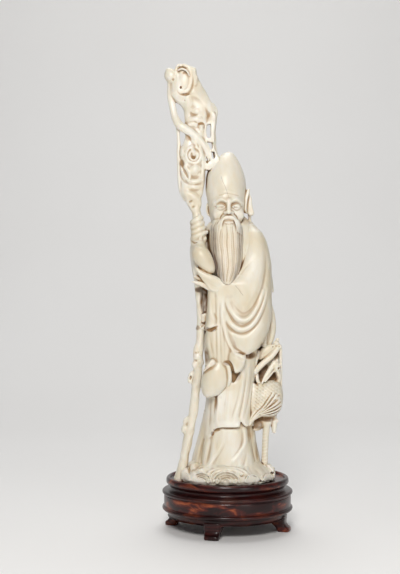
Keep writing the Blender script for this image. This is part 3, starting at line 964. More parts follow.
def carve_staff():
    """The long staff, its side knots and the hollow, knotted root at its head."""
    clay = Clay((-56, -26, -1), (-3, 3, 349), 0.45)
    pole = [
        [-40, -15, 2, 4.6], [-37.4, -15, 12, 4.1], [-35.4, -15.2, 22, 3.6], [-33, -15.4, 34, 3.9],
        [-30.4, -15.6, 47, 3.5], [-28.6, -15.8, 57, 3.8], [-26.8, -16, 73, 3.6], [-25.4, -16.6, 84, 3.9],
        [-24.6, -17, 95, 3.5], [-23.8, -17.6, 108, 3.7], [-22.8, -17.6, 119, 3.3],
        [-22.6, -15.6, 140, 3.2], [-24.6, -15.6, 163, 3.2], [-26.2, -15, 185, 3.4],
        [-25.8, -14, 203, 3.6], [-25.4, -12.6, 220, 3.5],
    ]
    clay.add(limb(pole))
    knots = [
        [-31.2, -16.4, 83.6, 2.4, 0], [-29.8, -16.4, 87.4, 3, 30], [-34.3, -15.4, 49.8, 3, 30],
        [-35.4, -15.4, 42.6, 3.2, 10], [-26.4, -18.6, 97, 3.4, 20], [-24.8, -19, 102.6, 4.2, -10],
        [-25, -18.8, 109.4, 3.6, 10], [-22.6, -18.4, 98.6, 2.8, -20],
    ]
    for x, y, z, size, lean in knots:
        clay.add(egg((x, y, z), (size * 0.9, size * 0.8, size * 1.25), lean), 1.6)
    pits = [
        [-26.8, -22.6, 106.2, 1.5, 0.9], [-24.2, -23.2, 106.4, 1.4, 0.5], [-26.6, -22.8, 99.6, 1.6, 1.2],
        [-23.8, -23.4, 100.6, 1.2, 0.5], [-30.8, -18.2, 85.2, 0.7, 1.6],
    ]
    for x, y, z, wide, tall in pits:
        clay.cut(egg((x, y, z), (wide, 2.0, tall), 8), 0.8)
    clay.cut(twig([-20.4, -21, -20.4], [-20.8, 158, 2.2], [-20.6, 149, 3], [-20.4, 140.6, 2]), 0.6)
    clay.roughen(13, 0.3)

    trunk = clay.blank((-56, -26, 205), (-3, 3, 349))
    trunk.add(tower(TRUNK, power=2.4, rounding=2.4))
    web = [[-20, 302], [-13, 306], [-10, 300], [-10.8, 286], [-10.2, 275], [-6.4, 262], [-20, 260]]
    trunk.add(leaf(web, -12.4, -5, 1.6), 1.2)
    trunk.roughen(15, 0.45)
    bark = Relief(trunk)
    turns = np.radians([70, 20, -30, -80, -130, -180, -225, -260])
    bark.stroke([[-28.2 + 6.4 * math.cos(t), 269.6 + 6.8 * math.sin(t), 1.3, 1.0] for t in turns])
    bark.stroke(
        [[-28.2 + 5.0 * math.cos(t), 269.4 + 5.2 * math.sin(t), 0.9, 0.7] for t in turns], "groove"
    )
    bark.stroke([[-28.4 + 3.6 * math.cos(t), 269.2 + 3.8 * math.sin(t), 1.1, 0.8] for t in turns[1:]])
    bark.strokes(
        "ridge",
        [[-29.4, 274, 2.2, 1.2], [-28.2, 271.4, 2, 1.6]],
        [[-38.8, 275.2, 2.6, 0.8], [-38, 270.6, 3, 1.5]],
        [[-30, 256.4, 4.6, 1.3], [-26.6, 257.6, 5.4, 2], [-23.6, 258, 3.4, 1]],
        [[-31, 247.2, 2.4, 0.8], [-26.4, 247.6, 2.8, 1.4], [-21.4, 248.8, 2.2, 0.8]],
        [[-31.4, 242.8, 2.2, 0.7], [-26.4, 242.6, 2.4, 1.1], [-21.6, 243.6, 1.8, 0.6]],
        [[-33, 237, 4, 1.1], [-28.4, 235.4, 4.4, 1.6], [-25, 233.4, 3, 0.6]],
        [
            [-39.4, 260.4, 1.3, 0.9], [-37.6, 255.4, 1.4, 1.4], [-34.8, 250.8, 1.3, 1.4],
            [-32.7, 247.6, 0.9, 0.9],
        ],
        [
            [-36, 260.6, 1.3, 0.8], [-33.6, 257, 1.5, 1.4], [-31.6, 252.4, 1.3, 1.4],
            [-32.5, 248, 0.9, 0.9],
        ],
        [
            [-27.6, 283.4, 1.4, 0.9], [-23.8, 277.4, 1.5, 1.1], [-21, 270, 1.6, 1],
            [-20.4, 258, 1.8, 0.6], [-20.8, 243, 1.6, 0.2],
        ],
        [
            [-29.8, 281.4, 1.2, 0.8], [-26.2, 277.8, 1.2, 0.8], [-23.2, 272.4, 1.2, 0.8],
            [-22.8, 264, 1.2, 0.2],
        ],
        [[-29.4, 306.4, 3.4, 0.8], [-26, 306, 3.4, 1.4]],
        [[-31.4, 298.4, 3, 0.8], [-27, 299.4, 3.2, 1.3], [-22.6, 298.4, 3, 0.8]],
        [[-33.4, 294.4, 2.4, 0.8], [-29, 295.6, 2.6, 1.2], [-25.6, 294.4, 2, 0.7]],
        [[-21.8, 293.4, 1.5, 1.6], [-21.6, 290, 1.6, 1.2]],
        [[-33.6, 320, 3, 0.3], [-32.6, 311, 4, 0.9], [-33.4, 303, 3, 0.5]],
    )
    bark.strokes(
        "groove",
        [
            [-30, 270.4, 1, 0.8], [-29.6, 267.8, 1.5, 1.9], [-28.2, 266.6, 1.7, 2.4],
            [-26.8, 268.2, 1.2, 1.2],
        ],
        [[-39.2, 267.2, 1.8, 0.8], [-38.2, 263.6, 2.8, 2.2], [-37.2, 260.8, 2.4, 1.8]],
        [[-37.8, 259.6, 0.9, 0.9], [-35.4, 255.2, 1.3, 2], [-33.2, 251, 0.9, 1.1]],
        [
            [-40.2, 256, 0.9, 0.5], [-38.4, 251, 1.1, 1.2], [-36.2, 247.4, 0.9, 0.8],
            [-33.4, 245.6, 0.8, 0.3],
        ],
        [[-31.6, 253, 2, 0.2], [-28.6, 251, 2.6, 1], [-25.2, 251, 2.4, 0.9], [-22.4, 252.6, 1.8, 0.2]],
        [[-30, 245.6, 1.4, 0.1], [-26.6, 244.8, 1.8, 0.5], [-23.2, 245.8, 1.4, 0.1]],
        [[-28, 241.2, 1.4, 0.1], [-25, 240.2, 1.8, 0.5], [-22.6, 240.8, 1.4, 0.1]],
        [[-25.8, 280.4, 0.7, 0.5], [-24.4, 277.4, 1, 1.4], [-23.4, 273.6, 0.7, 0.5]],
        [[-22.2, 273, 0.7, 0.4], [-22, 268.6, 0.9, 1.2], [-22.2, 264, 0.7, 0.3]],
        [[-22, 262, 0.9, 0.2], [-22.2, 255, 1.2, 0.5], [-22, 247, 0.9, 0.1]],
        [[-32.6, 287.6, 1.4, 0.4], [-31.8, 283.8, 1.9, 1.6], [-29.6, 280.2, 1.2, 0.7]],
        [
            [-31, 305.2, 1.6, 0.4], [-29.2, 302.8, 2.4, 1.3], [-26, 302.8, 2, 0.8],
            [-24.4, 304.4, 1.2, 0.2],
        ],
        [[-31.4, 296.6, 1.3, 0.5], [-27.6, 296.8, 1.5, 1], [-24.8, 295.4, 1.2, 0.5]],
        [
            [-24.8, 292, 0.8, 0.9], [-24.2, 294.6, 1.1, 1.9], [-21.8, 295.8, 1.2, 2.2],
            [-19.6, 294.6, 1.1, 1.8], [-19.4, 291.8, 0.9, 0.8],
        ],
        [[-18.4, 308, 2.4, 0.5], [-16.4, 303, 3.6, 2.4], [-17, 297.4, 2.8, 1.4]],
    )
    bark.soften(1, 0.85)
    trunk.press(bark)
    openings = [
        [
            [-42.8, 312.8], [-40.5, 312.4], [-38.2, 309.9], [-36.6, 306.3], [-36.3, 301.7],
            [-35.6, 297.8], [-37.3, 296.5], [-39.2, 298.5], [-40.9, 301.7], [-42.8, 306.9],
            [-43.5, 310.8],
        ],
        [[-39.9, 289], [-35.6, 286.7], [-36, 282.8], [-37.3, 278.6], [-38.3, 279.5], [-39.2, 284.3]],
        [
            [-17.1, 294.9], [-14.1, 295.2], [-14, 290], [-14.1, 284.8], [-15.8, 283.6], [-17.3, 285.4],
            [-17.8, 290.6],
        ],
        [[-17.4, 280.9], [-12.2, 279.9], [-12.5, 276.6], [-13.8, 274.3], [-15.8, 278]],
        [[-13.7, 272.6], [-11, 271.9], [-10.7, 267.8], [-12.5, 266.8]],
        [[-18, 268.7], [-16.2, 269.3], [-16, 263.9], [-17.8, 263.2]],
    ]
    for outline in openings:
        trunk.cut(leaf(outline, -24, 8, 0.3), 0.8)

    left_branch = [
        [-46.9, 330, 3.2], [-47.1, 319.3, 3.2], [-46.3, 312.8, 2.9], [-45.1, 306.3, 2.9],
        [-43.9, 301.7, 3], [-42.2, 297.8, 3.3], [-39.9, 294.2, 3.6], [-36.6, 291.9, 3.7],
        [-30.1, 287.6, 3.2], [-24.9, 283.2, 2.8], [-20.6, 278.4, 2.5], [-17.2, 272.6, 2.1],
        [-15.4, 267, 1.8], [-14.6, 261, 1.5],
    ]
    trunk.add(twig([-8, -8.6, -10.6, -13.2, -13.4, -11.6, -9], *left_branch, flat=0.8), 1.2)
    for shift in (-1.1, 0.5):
        line = [[-26.4 + shift, 283.0 + shift, 0.2], [-21.4 + shift, 277.6 + shift, 0.5]]
        line += [[-17.4 + shift, 271.2, 0.5], [-15 + shift * 0.7, 264, 0.4]]
        trunk.cut(twig([-16.4, -15, -13.4, -11.2], *line), 0.5)
    right_leg = [
        [-13, 311, 2.6], [-10.4, 306.4, 2.3], [-11, 301, 2.2], [-11.7, 295, 2.1], [-12, 288, 2.1],
        [-11.4, 284, 2.1], [-11.4, 279, 1.9], [-10.6, 274, 1.9], [-9.4, 268, 2.1], [-6.6, 262, 2.1],
    ]
    trunk.add(twig([-8, -7], *right_leg), 1.2)
    trunk.add(twig([-9, -8], [-19, 282.3, 1.7], [-15, 282.3, 1.4], [-11.5, 282.3, 1.4]), 0.9)
    trunk.add(twig([-9, -8], [-16, 264, 1.6], [-13, 262.6, 1.8], [-8, 262.4, 2]), 0.9)
    left_edge = [
        [-41.6, 294, 1.6], [-40.9, 284.8, 1.3], [-40.6, 278.9, 1.5], [-40.8, 272, 1.6], [-40.4, 262, 1.7],
        [-40, 250, 1.8], [-38.4, 240, 2], [-35.4, 233, 1.6],
    ]
    trunk.add(twig([-9, -9.6], *left_edge), 0.9)

    trunk.add(egg((-46.8, -9, 335.6), (5.6, 5.2, 5.6)), 2.0)
    trunk.add(egg((-48.6, -9, 337.4), (3.8, 4, 5.2)), 1.6)
    block = [[-36.4, 344], [-28, 342.4], [-26.4, 340.6], [-26, 337], [-24.8, 333], [-27, 328], [-31, 330]]
    trunk.add(leaf(block, -14.0, -3, 2.0), 2.0)
    trunk.cut(
        twig([-13.4, -14.6], [-44.4, 343, 0.5], [-43, 338, 0.8], [-43, 332, 0.7], [-44.4, 326, 0.4]), 1.2
    )
    trunk.cut(egg((-45.6, -13.8, 331.6), (0.7, 1.6, 0.6)), 0.4)
    trunk.cut(egg((-35.8, -19.4, 331.4), (6, 6.6, 11.4), 4), 1.2)
    rim = [
        [-43, 340.4, 1], [-41.4, 343.6, 1.3], [-38.6, 344, 1.1], [-36.4, 344.2, 1.1], [-32.4, 342, 1.2],
        [-30.4, 337.6, 1.2], [-29.9, 331, 1.3], [-30.8, 326, 1.4], [-33.4, 322.2, 1.4],
        [-36.4, 320.8, 1.3], [-39.6, 321.6, 1.2], [-41.6, 325.2, 1], [-42.4, 330, 0.9], [-42.2, 335, 0.9],
        [-42.8, 339, 1],
    ]
    trunk.add(twig([-11.8, -12.6, -13.3, -13, -12], *rim), 1.8)
    under = [
        [-42.4, 322.6, 0.4], [-39.6, 319.6, 0.8], [-36, 318.9, 1.1], [-32.6, 320.4, 1.1],
        [-30, 324.4, 0.9], [-28.4, 330, 0.8], [-28.6, 336, 0.5],
    ]
    trunk.cut(twig([-14.8, -15.4, -15.2], *under), 0.9)
    trunk.add(egg((-35.8, -12.6, 329.4), (5.8, 2.9, 9.8), 5), 1.0)
    trunk.cut(twig([-14.8, -15.6, -15], [-39.8, 334.4, 0.3], [-40.4, 331, 0.6], [-41.6, 327.4, 0.6]), 0.4)
    trunk.cut(egg((-38.9, -15.4, 325.2), (0.9, 2.4, 1.2)), 0.5)
    trunk.add(twig(
        [-14.6, -16, -15.4], [-41, 339.6, 0.7], [-37.6, 340.6, 0.9], [-33.8, 338.6, 0.9],
        [-31.8, 335, 0.6],
    ), 0.4)
    trunk.cut(twig(
        [-15.4, -16.4, -16], [-41.6, 341, 1.1], [-38.4, 341.8, 0.9], [-34.6, 340.6, 0.8],
        [-31.4, 337.4, 0.5],
    ), 0.3)
    trunk.cut(
        twig([-15.6, -16.2, -15.8], [-38.2, 338.6, 0.4], [-35.4, 337.8, 0.8], [-33.4, 335, 0.6]), 0.3
    )
    trunk.cut(egg((-35.8, -15, 314.6), (0.8, 1.4, 0.8)), 0.3)
    trunk.cut(egg((-31.5, -15.4, 230.6), (2.4, 1.6, 1), -25), 1.2)
    trunk.cut(egg((-29.4, -16.2, 226.2), (2.3, 1.4, 1), -25), 1.2)
    clay.join(trunk, 0.8)
    clay.level(0)
    return clay


def carve_hands():
    """The right hand around the staff, and the left hand under the peach."""
    clay = Clay((-35, -42, 148), (-4, 0, 224), 0.38)
    for finger in range(4):
        z = 213.6 - finger * 4.15
        left, right = -30.2 + 0.35 * finger, -21.2 + 1.1 * finger
        knuckles = [
            [left + 1.4, -8, z - 0.4, 2.6],
            [left + 1.6, -13.0, z - 0.2, 2.9],
            [left + 2.8, -16.2, z + 0.6, 2.8],
            [(left + right) / 2 + 0.6, -16.8, z + 2.0, 2.8],
            [right - 2.2, -15.2, z + 3.4, 2.8],
            [right - 1.2, -12.0, z + 3.8, 2.4],
        ]
        clay.add(limb(knuckles), 1.1)
    clay.add(egg((-24.8, -9, 206), (5.6, 6.4, 11)), 1.2)
    clay.add(limb([[-19.4, -10, 205, 3.6], [-21.6, -12, 200, 4.6], [-23.6, -13, 195, 5.6]]), 1.5)
    clay.add(twig([-15, -17, -17.2], [-17.6, 205.4, 1.6], [-20.8, 204.2, 2], [-22.6, 200.6, 2.1]), 0.5)
    clay.cut(
        twig([-18.2, -18.8, -18.2], [-18, 202.8, 0.3], [-20.4, 201.8, 0.5], [-21.4, 198.6, 0.3]), 0.8
    )
    clay.add(egg((-19.4, -15.2, 199.6), (2, 2.2, 2.6), 20), 1.2)
    clay.add(limb([
        [-25.6, -11, 199, 5.4], [-24.4, -15, 194.6, 6], [-23, -21, 190.4, 5.6], [-22, -25, 186, 5],
    ]), 2.0)
    clay.cut(limb([[-31.4, -14, 198.6, 0.6], [-27.4, -20, 196.4, 0.8], [-22.8, -21, 195.6, 0.5]]), 1.0)

    clay.add(egg((-21.2, -28.6, 184.6), (7.4, 7.6, 10.4), -32), 1.2)
    clay.add(egg((-17, -29, 177.6), (5.6, 6.6, 8.2), -36), 4.0)
    clay.add(egg((-19.6, -27.4, 173), (6.6, 5.4, 4), -20), 0.3)
    clay.cut(twig(
        [-33.4, -35.4, -36.2, -35], [-28.2, 178.4, 0.5], [-23.4, 174.6, 0.7], [-17.4, 172, 0.7],
        [-12, 171, 0.5],
    ), 0.7)

    palm = [
        [-26.8, 176.2], [-22.8, 173.4], [-17, 170.6], [-10, 168.2], [-5, 164], [-5, 157.4],
        [-11.4, 155.6], [-15.4, 157.8], [-19, 162.6], [-23, 168.4],
    ]
    clay.add(leaf(palm, -34.6, -26, 2.4), 0.6)
    clay.add(twig(
        [-31.4, -33.4, -32.4, -30.4], [-26.4, 175.2, 0.9], [-20.6, 170.2, 2], [-13, 166.2, 3.2],
        [-5, 162.4, 4],
    ), 2.0)
    blade = [
        [-30.2, 164.8], [-26, 165], [-20.6, 163.8], [-15, 160.4], [-12, 156.4], [-16.6, 157.4],
        [-21.6, 160.4], [-26.6, 162.4],
    ]
    clay.add(leaf(blade, -33.6, -28, 1.4), 0.4)
    clay.add(limb([[-27, -27, 168.6, 1.4], [-22.6, -29, 166.2, 2], [-16, -29, 163, 3]]), 0.6)
    clay.add(limb([[-14, -27, 162, 4], [-20, -26, 168, 3.6], [-23, -25.4, 174, 3.2]]), 0.8)
    return clay


def carve_crane():
    """The crane, its head turned down to its back, beside a sprig of lingzhi."""
    clay = Clay((12, -33, 3), (50, 10, 120), 0.42)
    backing = [
        [40.6, 17, 28, -13.4, 4], [46, 17, 33, -14.2, 4], [52, 18.4, 38, -12.4, 4],
        [60, 19.6, 42, -11, 4], [70, 19.6, 43.6, -10.4, 4], [88, 19.6, 43.6, -8, 3],
        [104, 20.6, 43.4, -7.6, 1], [112, 22, 41, -7.4, -1],
    ]
    clay.add(tower(backing, rounding=2))
    body = clay.blank((12, -33, 38), (50, 8, 92))
    shape = [
        [52.6, 24, 38, -15, 0], [54, 21, 41, -18, 2], [58, 17.8, 44, -21, 3], [64, 16.8, 45.8, -22.6, 4],
        [70, 17.4, 46.2, -22.6, 4], [76, 19.6, 45, -21, 3], [80, 23, 43.4, -18.6, 2],
        [82.6, 27.4, 41.6, -15.6, 0],
    ]
    body.add(tower(shape, power=2, rounding=2.4))
    body.add(twig(
        [-17, -19, -21, -22], [30, 60, 6.4], [25, 57, 4.4], [20.6, 52.4, 2.4], [17.6, 47, 1], flat=0.8
    ), 3.0)
    feathers = Relief(body)
    flow, across = np.array([-0.62, -0.78]), np.array([0.78, -0.62])
    spots = []
    for row in range(12):
        for column in range(-7, 8):
            spot = np.array([39, 82]) + flow * row * 2.3 + across * (column + 0.5 * (row % 2)) * 2.7
            if (spot - [31.6, 64]) @ across < 3.4 - 0.5 * max(row - 4, 0):
                spots.append(spot)
    feathers.scales(spots[::-1], flow, 1.95, 0.6)
    feathers.strokes(
        "ridge",
        [
            [37.6, 73.6, 1.3, 0.5], [33.4, 67.4, 1.4, 1.2], [29, 61, 1.3, 1.1], [24.6, 57, 1, 0.8],
            [19, 50, 0.8, 0.5],
        ],
        [
            [40, 71, 1.3, 0.5], [35.4, 65.4, 1.4, 1.2], [30.4, 60.4, 1.3, 1.1], [25.8, 56.6, 1, 0.8],
            [20.4, 50.6, 0.8, 0.4],
        ],
        [[43, 66.6, 1.3, 0.6], [38.6, 63, 1.4, 1.1], [32.6, 59.8, 1.3, 1.1], [27.4, 57, 1, 0.7]],
        [[44.2, 63.4, 1.2, 0.6], [38.8, 60.4, 1.3, 1.1], [32.6, 58, 1.2, 1.1], [27, 56, 0.9, 0.7]],
        [[44.2, 60.2, 1.2, 0.6], [39.6, 57.8, 1.3, 1.1], [34, 56.2, 1.2, 1.1], [27.6, 55.2, 0.9, 0.7]],
        [[43, 57.4, 1.2, 0.6], [38.6, 55.4, 1.2, 1], [33.4, 54.4, 1.1, 1], [27.6, 54.4, 0.9, 0.6]],
        [[40.6, 54.6, 1, 0.6], [35.6, 53.2, 1, 0.9], [29.6, 53.4, 0.9, 0.5]],
        [[38.4, 70, 3, 0.4], [41.4, 68.4, 2.6, 0.8]],
    )
    feathers.strokes(
        "groove",
        [
            [36.2, 73.4, 0.7, 0.3], [32.2, 67.6, 0.9, 1.1], [27.8, 61.6, 0.9, 1.1],
            [23.4, 57.6, 0.8, 0.8], [18.4, 51.4, 0.6, 0.4],
        ],
        [
            [39.2, 72.2, 0.7, 0.3], [34.6, 66.2, 0.8, 1.2], [29.8, 60.6, 0.8, 1.2],
            [25.2, 56.8, 0.7, 0.8], [19.8, 50.4, 0.5, 0.3],
        ],
        [[41.8, 68, 0.8, 0.3], [37, 64, 0.9, 1.2], [31.6, 60.2, 0.9, 1.3], [26.8, 57, 0.7, 0.8]],
        [[44, 65, 0.7, 0.3], [38.8, 61.8, 0.8, 1.1], [32.8, 58.8, 0.8, 1.2], [27.4, 56.6, 0.6, 0.7]],
        [[44.6, 61.8, 0.7, 0.3], [39.4, 59, 0.8, 1.1], [33.4, 57.2, 0.8, 1.2], [27.4, 55.6, 0.6, 0.7]],
        [[44, 58.8, 0.7, 0.3], [39.2, 56.6, 0.8, 1.1], [33.8, 55.2, 0.8, 1.1], [27.6, 54.8, 0.6, 0.6]],
        [[42.2, 56, 0.7, 0.3], [37.2, 54.2, 0.7, 0.9], [31.6, 53.8, 0.7, 0.9], [27.4, 54, 0.5, 0.4]],
    )
    body.press(feathers)
    body.press(feathers, 1)
    clay.join(body, 0.4)
    clay.add(
        limb([[20.8, -15, 79, 2], [20.2, -16.2, 68, 3.2], [19.6, -16.6, 57, 3], [19.6, -15, 47, 2]]), 3.0
    )

    leg = [
        [32.4, -9, 54, 6.4], [32.6, -10, 49, 4.6], [32, -10, 42, 2.9], [31, -9.8, 24, 2.6],
        [30.4, -9.4, 6, 3],
    ]
    clay.add(limb(leg), 1.6)
    for ring in range(12):
        z = 39.6 - ring * 2.7
        x = 30.5 + 1.0 * (z - 6) / 33
        clay.add(limb(
            [[x - 2.4, -10.8, z - 0.5, 0.3], [x, -12.2, z, 0.35], [x + 2.4, -10.8, z + 0.7, 0.3]], 3
        ), 0.6)
    clay.add(limb([[37.4, -8, 54, 3.6], [38.6, -8, 46, 2.8], [38.8, -8, 40, 1.8]]), 1.0)
    clay.add(egg((40.6, -8.6, 48.6), (1.8, 1.8, 1.7)), 0.4)
    for shift in (-1.4, 0, 1.4):
        clay.cut(limb([
            [37.6 + shift, -12, 50, 0.3], [38.6 + shift, -11.4, 45, 0.5],
            [38.8 + shift * 0.6, -10, 39.6, 0.3],
        ]), 0.4)

    clay.add(limb([[40, -10, 79, 2.6], [42.2, -11, 85, 2.2], [41.4, -12.4, 91, 2.6]]), 1.2)
    clay.add(egg((39.6, -14, 94.6), (3.4, 3.4, 5), -20), 0.6)
    clay.add(twig(
        [-15.4, -18.2, -20.6], [38.6, 97.4, 1.9], [34, 90.6, 1.9], [30, 84.6, 1.3], [27.8, 80.6, 0.6],
        flat=0.7,
    ), 0.6)
    clay.add(
        twig([-15, -17.4, -19.6], [37.6, 90.6, 1], [34.6, 87, 0.9], [30.6, 82.2, 0.6], flat=0.7), 0.2
    )
    for index in range(12):
        turn = 2.4 * index
        reach = 1.0 + 0.24 * index
        spot = (39.8 + reach * math.cos(turn), -15.6 + 0.12 * index, 94.4 + 1.4 * reach * math.sin(turn))
        clay.add(egg(spot, (1.2, 1.5, 1.5), 40 * math.cos(turn) - 15), 0.7)
    clay.cut(egg((42, -16, 93), (0.8, 2, 1.1), 30), 0.4)
    clay.cut(egg((40.2, -17.6, 90.4), (0.7, 2, 0.9), 30), 0.4)
    clay.add(twig([-9, -8.6], [43.8, 70, 2], [44, 80, 1.5], [44.2, 96, 1.4], [43.8, 108, 1.7]), 0.8)
    clay.add(limb([
        [22, -13.6, 89.6, 2.6], [29, -14.4, 96.6, 2.4], [36.4, -13, 102.9, 2.3],
        [42.4, -10.4, 110.6, 2.2],
    ], flat=0.8), 0.6)
    clay.add(limb([[21.4, -12, 86, 1.8], [22.6, -13, 96, 1.6], [25.4, -13, 106, 1.8]]), 0.6)
    clay.add(limb([[24, -12, 88, 1.5], [24.6, -13.4, 83, 1.6], [27, -14, 79, 1.6]]), 1.0)
    clay.add(egg((31.4, -11.6, 106), (8.4, 2.6, 4.4), -38), 1.2)
    clay.cut(limb([[22.6, -17, 93.4, 0.3], [30, -17, 100, 0.4], [37.6, -15.6, 106.4, 0.3]]), 0.6)
    for x, z, size in ((40.4, 113.4, 2.6), (43.2, 110.6, 1.8), (38.0, 110.6, 2.2), (41.4, 116.4, 1.6)):
        clay.add(egg((x, -10.4, z), (size, size, size * 0.8)), 0.8)
        clay.cut(egg((x - 0.4, -10.4 - size, z), (size * 0.45, 0.6, size * 0.3)), 0.3)
    clay.cut(limb([[33.4, -15, 107.6, 0.5], [36.4, -15.4, 109.6, 0.8], [39.4, -15, 112.4, 0.5]]), 0.4)
    for degrees in (-150, -100, -40, 70):
        turn = math.radians(degrees)
        reach = [(30.6 + math.cos(turn) * r, -9.4 + math.sin(turn) * r) for r in (0, 4, 8.4)]
        clay.add(limb([[*reach[0], 9.4, 2.2], [*reach[1], 11.0, 1.8], [*reach[2], 8.0, 1.2]]), 0.4)
    return clay


# Meshes from the clay

# Brown places: middle x and z, reach x and z, only deeper than y, strength
STAINS = [
    [-20.4, 149, 3.4, 11.6, -27.6, 0.62], [-17.8, 149, 1.6, 11, -30, 0.8],
    [-21.6, 158.4, 2.6, 1.4, -28, 0.5], [-9.6, 66, 1.4, 8, -29.4, 0.5], [-15.4, 64, 3.2, 8, -40, 0.16],
    [-26.6, 106.2, 2.6, 1.4, -40, 0.22], [-26.2, 99.6, 2.8, 1.4, -40, 0.24],
    [-37.4, 341.4, 5, 1.6, -16.2, 0.5], [-35.2, 337.4, 3, 1.4, -15.6, 0.5],
    [-35, 319.6, 5, 1.6, -15.4, 0.5], [-29.2, 328, 1.4, 7, -15.2, 0.35], [-37, 314, 3.6, 3, -40, 0.15],
    [-35, 320.6, 7, 2.6, -40, 0.2], [-30.4, 331, 2.4, 11, -40, 0.2], [-38, 343.4, 7, 2.4, -40, 0.2],
    [-44.4, 341, 2, 1.6, -40, 0.2], [-20.6, 130.4, 2, 1.2, -28, 0.6], [-25.6, 126.6, 3, 2.4, -30, 0.6],
    [-14, 126, 5.5, 2.6, -33.8, 0.75], [-17.4, 103, 2.4, 8, -29.4, 0.5], [-16, 94, 5, 2.2, -33.4, 0.4],
    [18, 104, 6, 3.6, -29, 0.6], [26, 112, 2.6, 8, -27, 0.5], [10.4, 106, 4.4, 1.6, -33.6, 0.6],
    [-0.4, 98.4, 4, 2.6, -33.2, 0.7], [3.6, 91, 1.8, 6, -31.2, 0.7], [6, 88, 5, 5.5, -29.4, 0.6],
    [1, 79, 7, 5, -29.6, 0.2], [30, 90, 5, 9, -15.6, 0.7], [38.6, 86, 4.6, 5, -13.6, 0.7],
    [40.4, 104, 4, 5, -11.4, 0.65], [31, 109, 4, 3, -12.4, 0.4], [24.6, 46.6, 5.4, 5.4, -40, 0.62],
    [33, 50.6, 8, 2.6, -17, 0.6], [18.8, 40.8, 4.4, 7, -40, 0.3], [-12.8, 40.2, 1.6, 2, -31.4, 0.8],
    [-9.4, 43.4, 3.2, 1.3, -31.4, 0.8], [2, 44.8, 10, 0.9, -29.6, 0.5], [24.2, 24, 1.8, 9, -40, 0.4],
    [-31.8, 18, 2.4, 8, -40, 0.4], [-24.6, 13.2, 5.4, 2.2, -40, 0.3], [-38, 262.6, 2.8, 4, -40, 0.55],
    [-33, 284, 2.4, 4, -14.4, 0.4], [-16, 301, 3.4, 5, -14.2, 0.25], [-28, 302.8, 3, 1.8, -14.2, 0.2],
    [-22, 295.4, 3, 1.6, -14.4, 0.5], [-28.3, 267.4, 2, 2, -15, 0.6], [-36.4, 331, 6.6, 11.4, -40, 0.1],
    [-39.2, 328, 1.8, 4, -14.2, 0.5], [-45.2, 332.2, 1.4, 1.4, -40, 0.4], [17, 228, 3.4, 9, -4, 0.32],
    [15, 216, 4, 5, -14, 0.3], [-23.6, 167, 5.4, 2.8, -32.4, 0.35], [12, 143, 8, 8, -40, 0.16],
    [22, 150, 5, 10, -40, 0.15], [28, 166, 3.4, 14, -40, 0.13], [-22.4, 157.8, 6.4, 2.6, -33, 0.7],
    [-27, 103.8, 2.6, 7, -21.4, 0.3],
]

# What the mean of filled and empty reads beside an open surface, near it and wider around
OPEN_NEAR, OPEN_WIDE = 0.29, 0.36

# How each part is carved, its triangles, how dark its creases are and how brown its hollows
PARTS = {
    "ivory_base": (carve_base, 100000, 0.3, 0.25),
    "ivory_robe": (carve_robe, 150000, 0.65, 1),
    "ivory_sleeves": (carve_sleeves, 190000, 0.65, 1),
    "ivory_head": (carve_head, 190000, 0.65, 1),
    "ivory_staff": (carve_staff, 120000, 0.65, 1),
    "ivory_hands": (carve_hands, 60000, 0.65, 1),
    "ivory_crane": (carve_crane, 100000, 0.65, 1),
}


def link(obj):
    """Puts an object in the scene and hands it back."""
    bpy.context.scene.collection.objects.link(obj)
    return obj


def mesh_object(name, vertices, faces):
    """A mesh object from arrays, in metres."""
    mesh = bpy.data.meshes.new(name)
    mesh.vertices.add(len(vertices))
    mesh.vertices.foreach_set("co", np.asarray(vertices, np.float32).ravel())
    mesh.loops.add(faces.size)
    mesh.loops.foreach_set("vertex_index", faces.ravel().astype(np.int32))
    mesh.polygons.add(len(faces))
    mesh.polygons.foreach_set("loop_start", np.arange(0, faces.size, faces.shape[1], dtype=np.int32))
    mesh.update(calc_edges=True)
    return link(bpy.data.objects.new(name, mesh))


def thin(obj, triangles):
    """Leaves about that many triangles, most where the surface bends."""
    count = 2 * len(obj.data.polygons)
    if count <= triangles:
        return
    modifier = obj.modifiers.new("thin", "DECIMATE")
    modifier.ratio = triangles / count
    graph = bpy.context.evaluated_depsgraph_get()
    mesh = bpy.data.meshes.new_from_object(obj.evaluated_get(graph))
    obj.modifiers.remove(modifier)
    obj.data = mesh


def occupied(clays):
    """The whole carving as a coarse grid of filled and empty, and its origin and step."""
    step = 0.9
    low, high = np.array([-58, -46, -6]), np.array([52, 40, 352])
    first = np.floor(low / step).astype(int)
    filled = np.zeros(np.ceil(high / step).astype(int) - first + 1, np.float32)
    for clay in clays:
        axes, spots = [], []
        for axis in range(3):
            points = (np.arange(filled.shape[axis]) + first[axis]) * step
            index = np.round(points / clay.voxel).astype(int) - clay.first[axis]
            good = (index >= 0) & (index < clay.count[axis])
            axes.append(index[good])
            spots.append(np.flatnonzero(good))
        inside = clay.field[np.ix_(*axes)] < 0
        filled[np.ix_(*spots)] = np.maximum(filled[np.ix_(*spots)], inside)
    return filled, first, step


def stains(points, normals):
    """How much each point lies in one of the brown, uncleaned places of the front."""
    x, y, z = points.T
    facing = smooth_step(0.15, -0.4, normals[:, 1])
    total = np.zeros(len(points))
    for middle_x, middle_z, reach_x, reach_z, depth, strength in STAINS:
        gap = ((x - middle_x) / reach_x) ** 2 + ((z - middle_z) / reach_z) ** 2
        spot = strength * np.clip(1.3 - gap, 0, 1) * smooth_step(depth - 0.8, depth + 0.8, y)
        total = np.maximum(total, spot * facing)
    return total


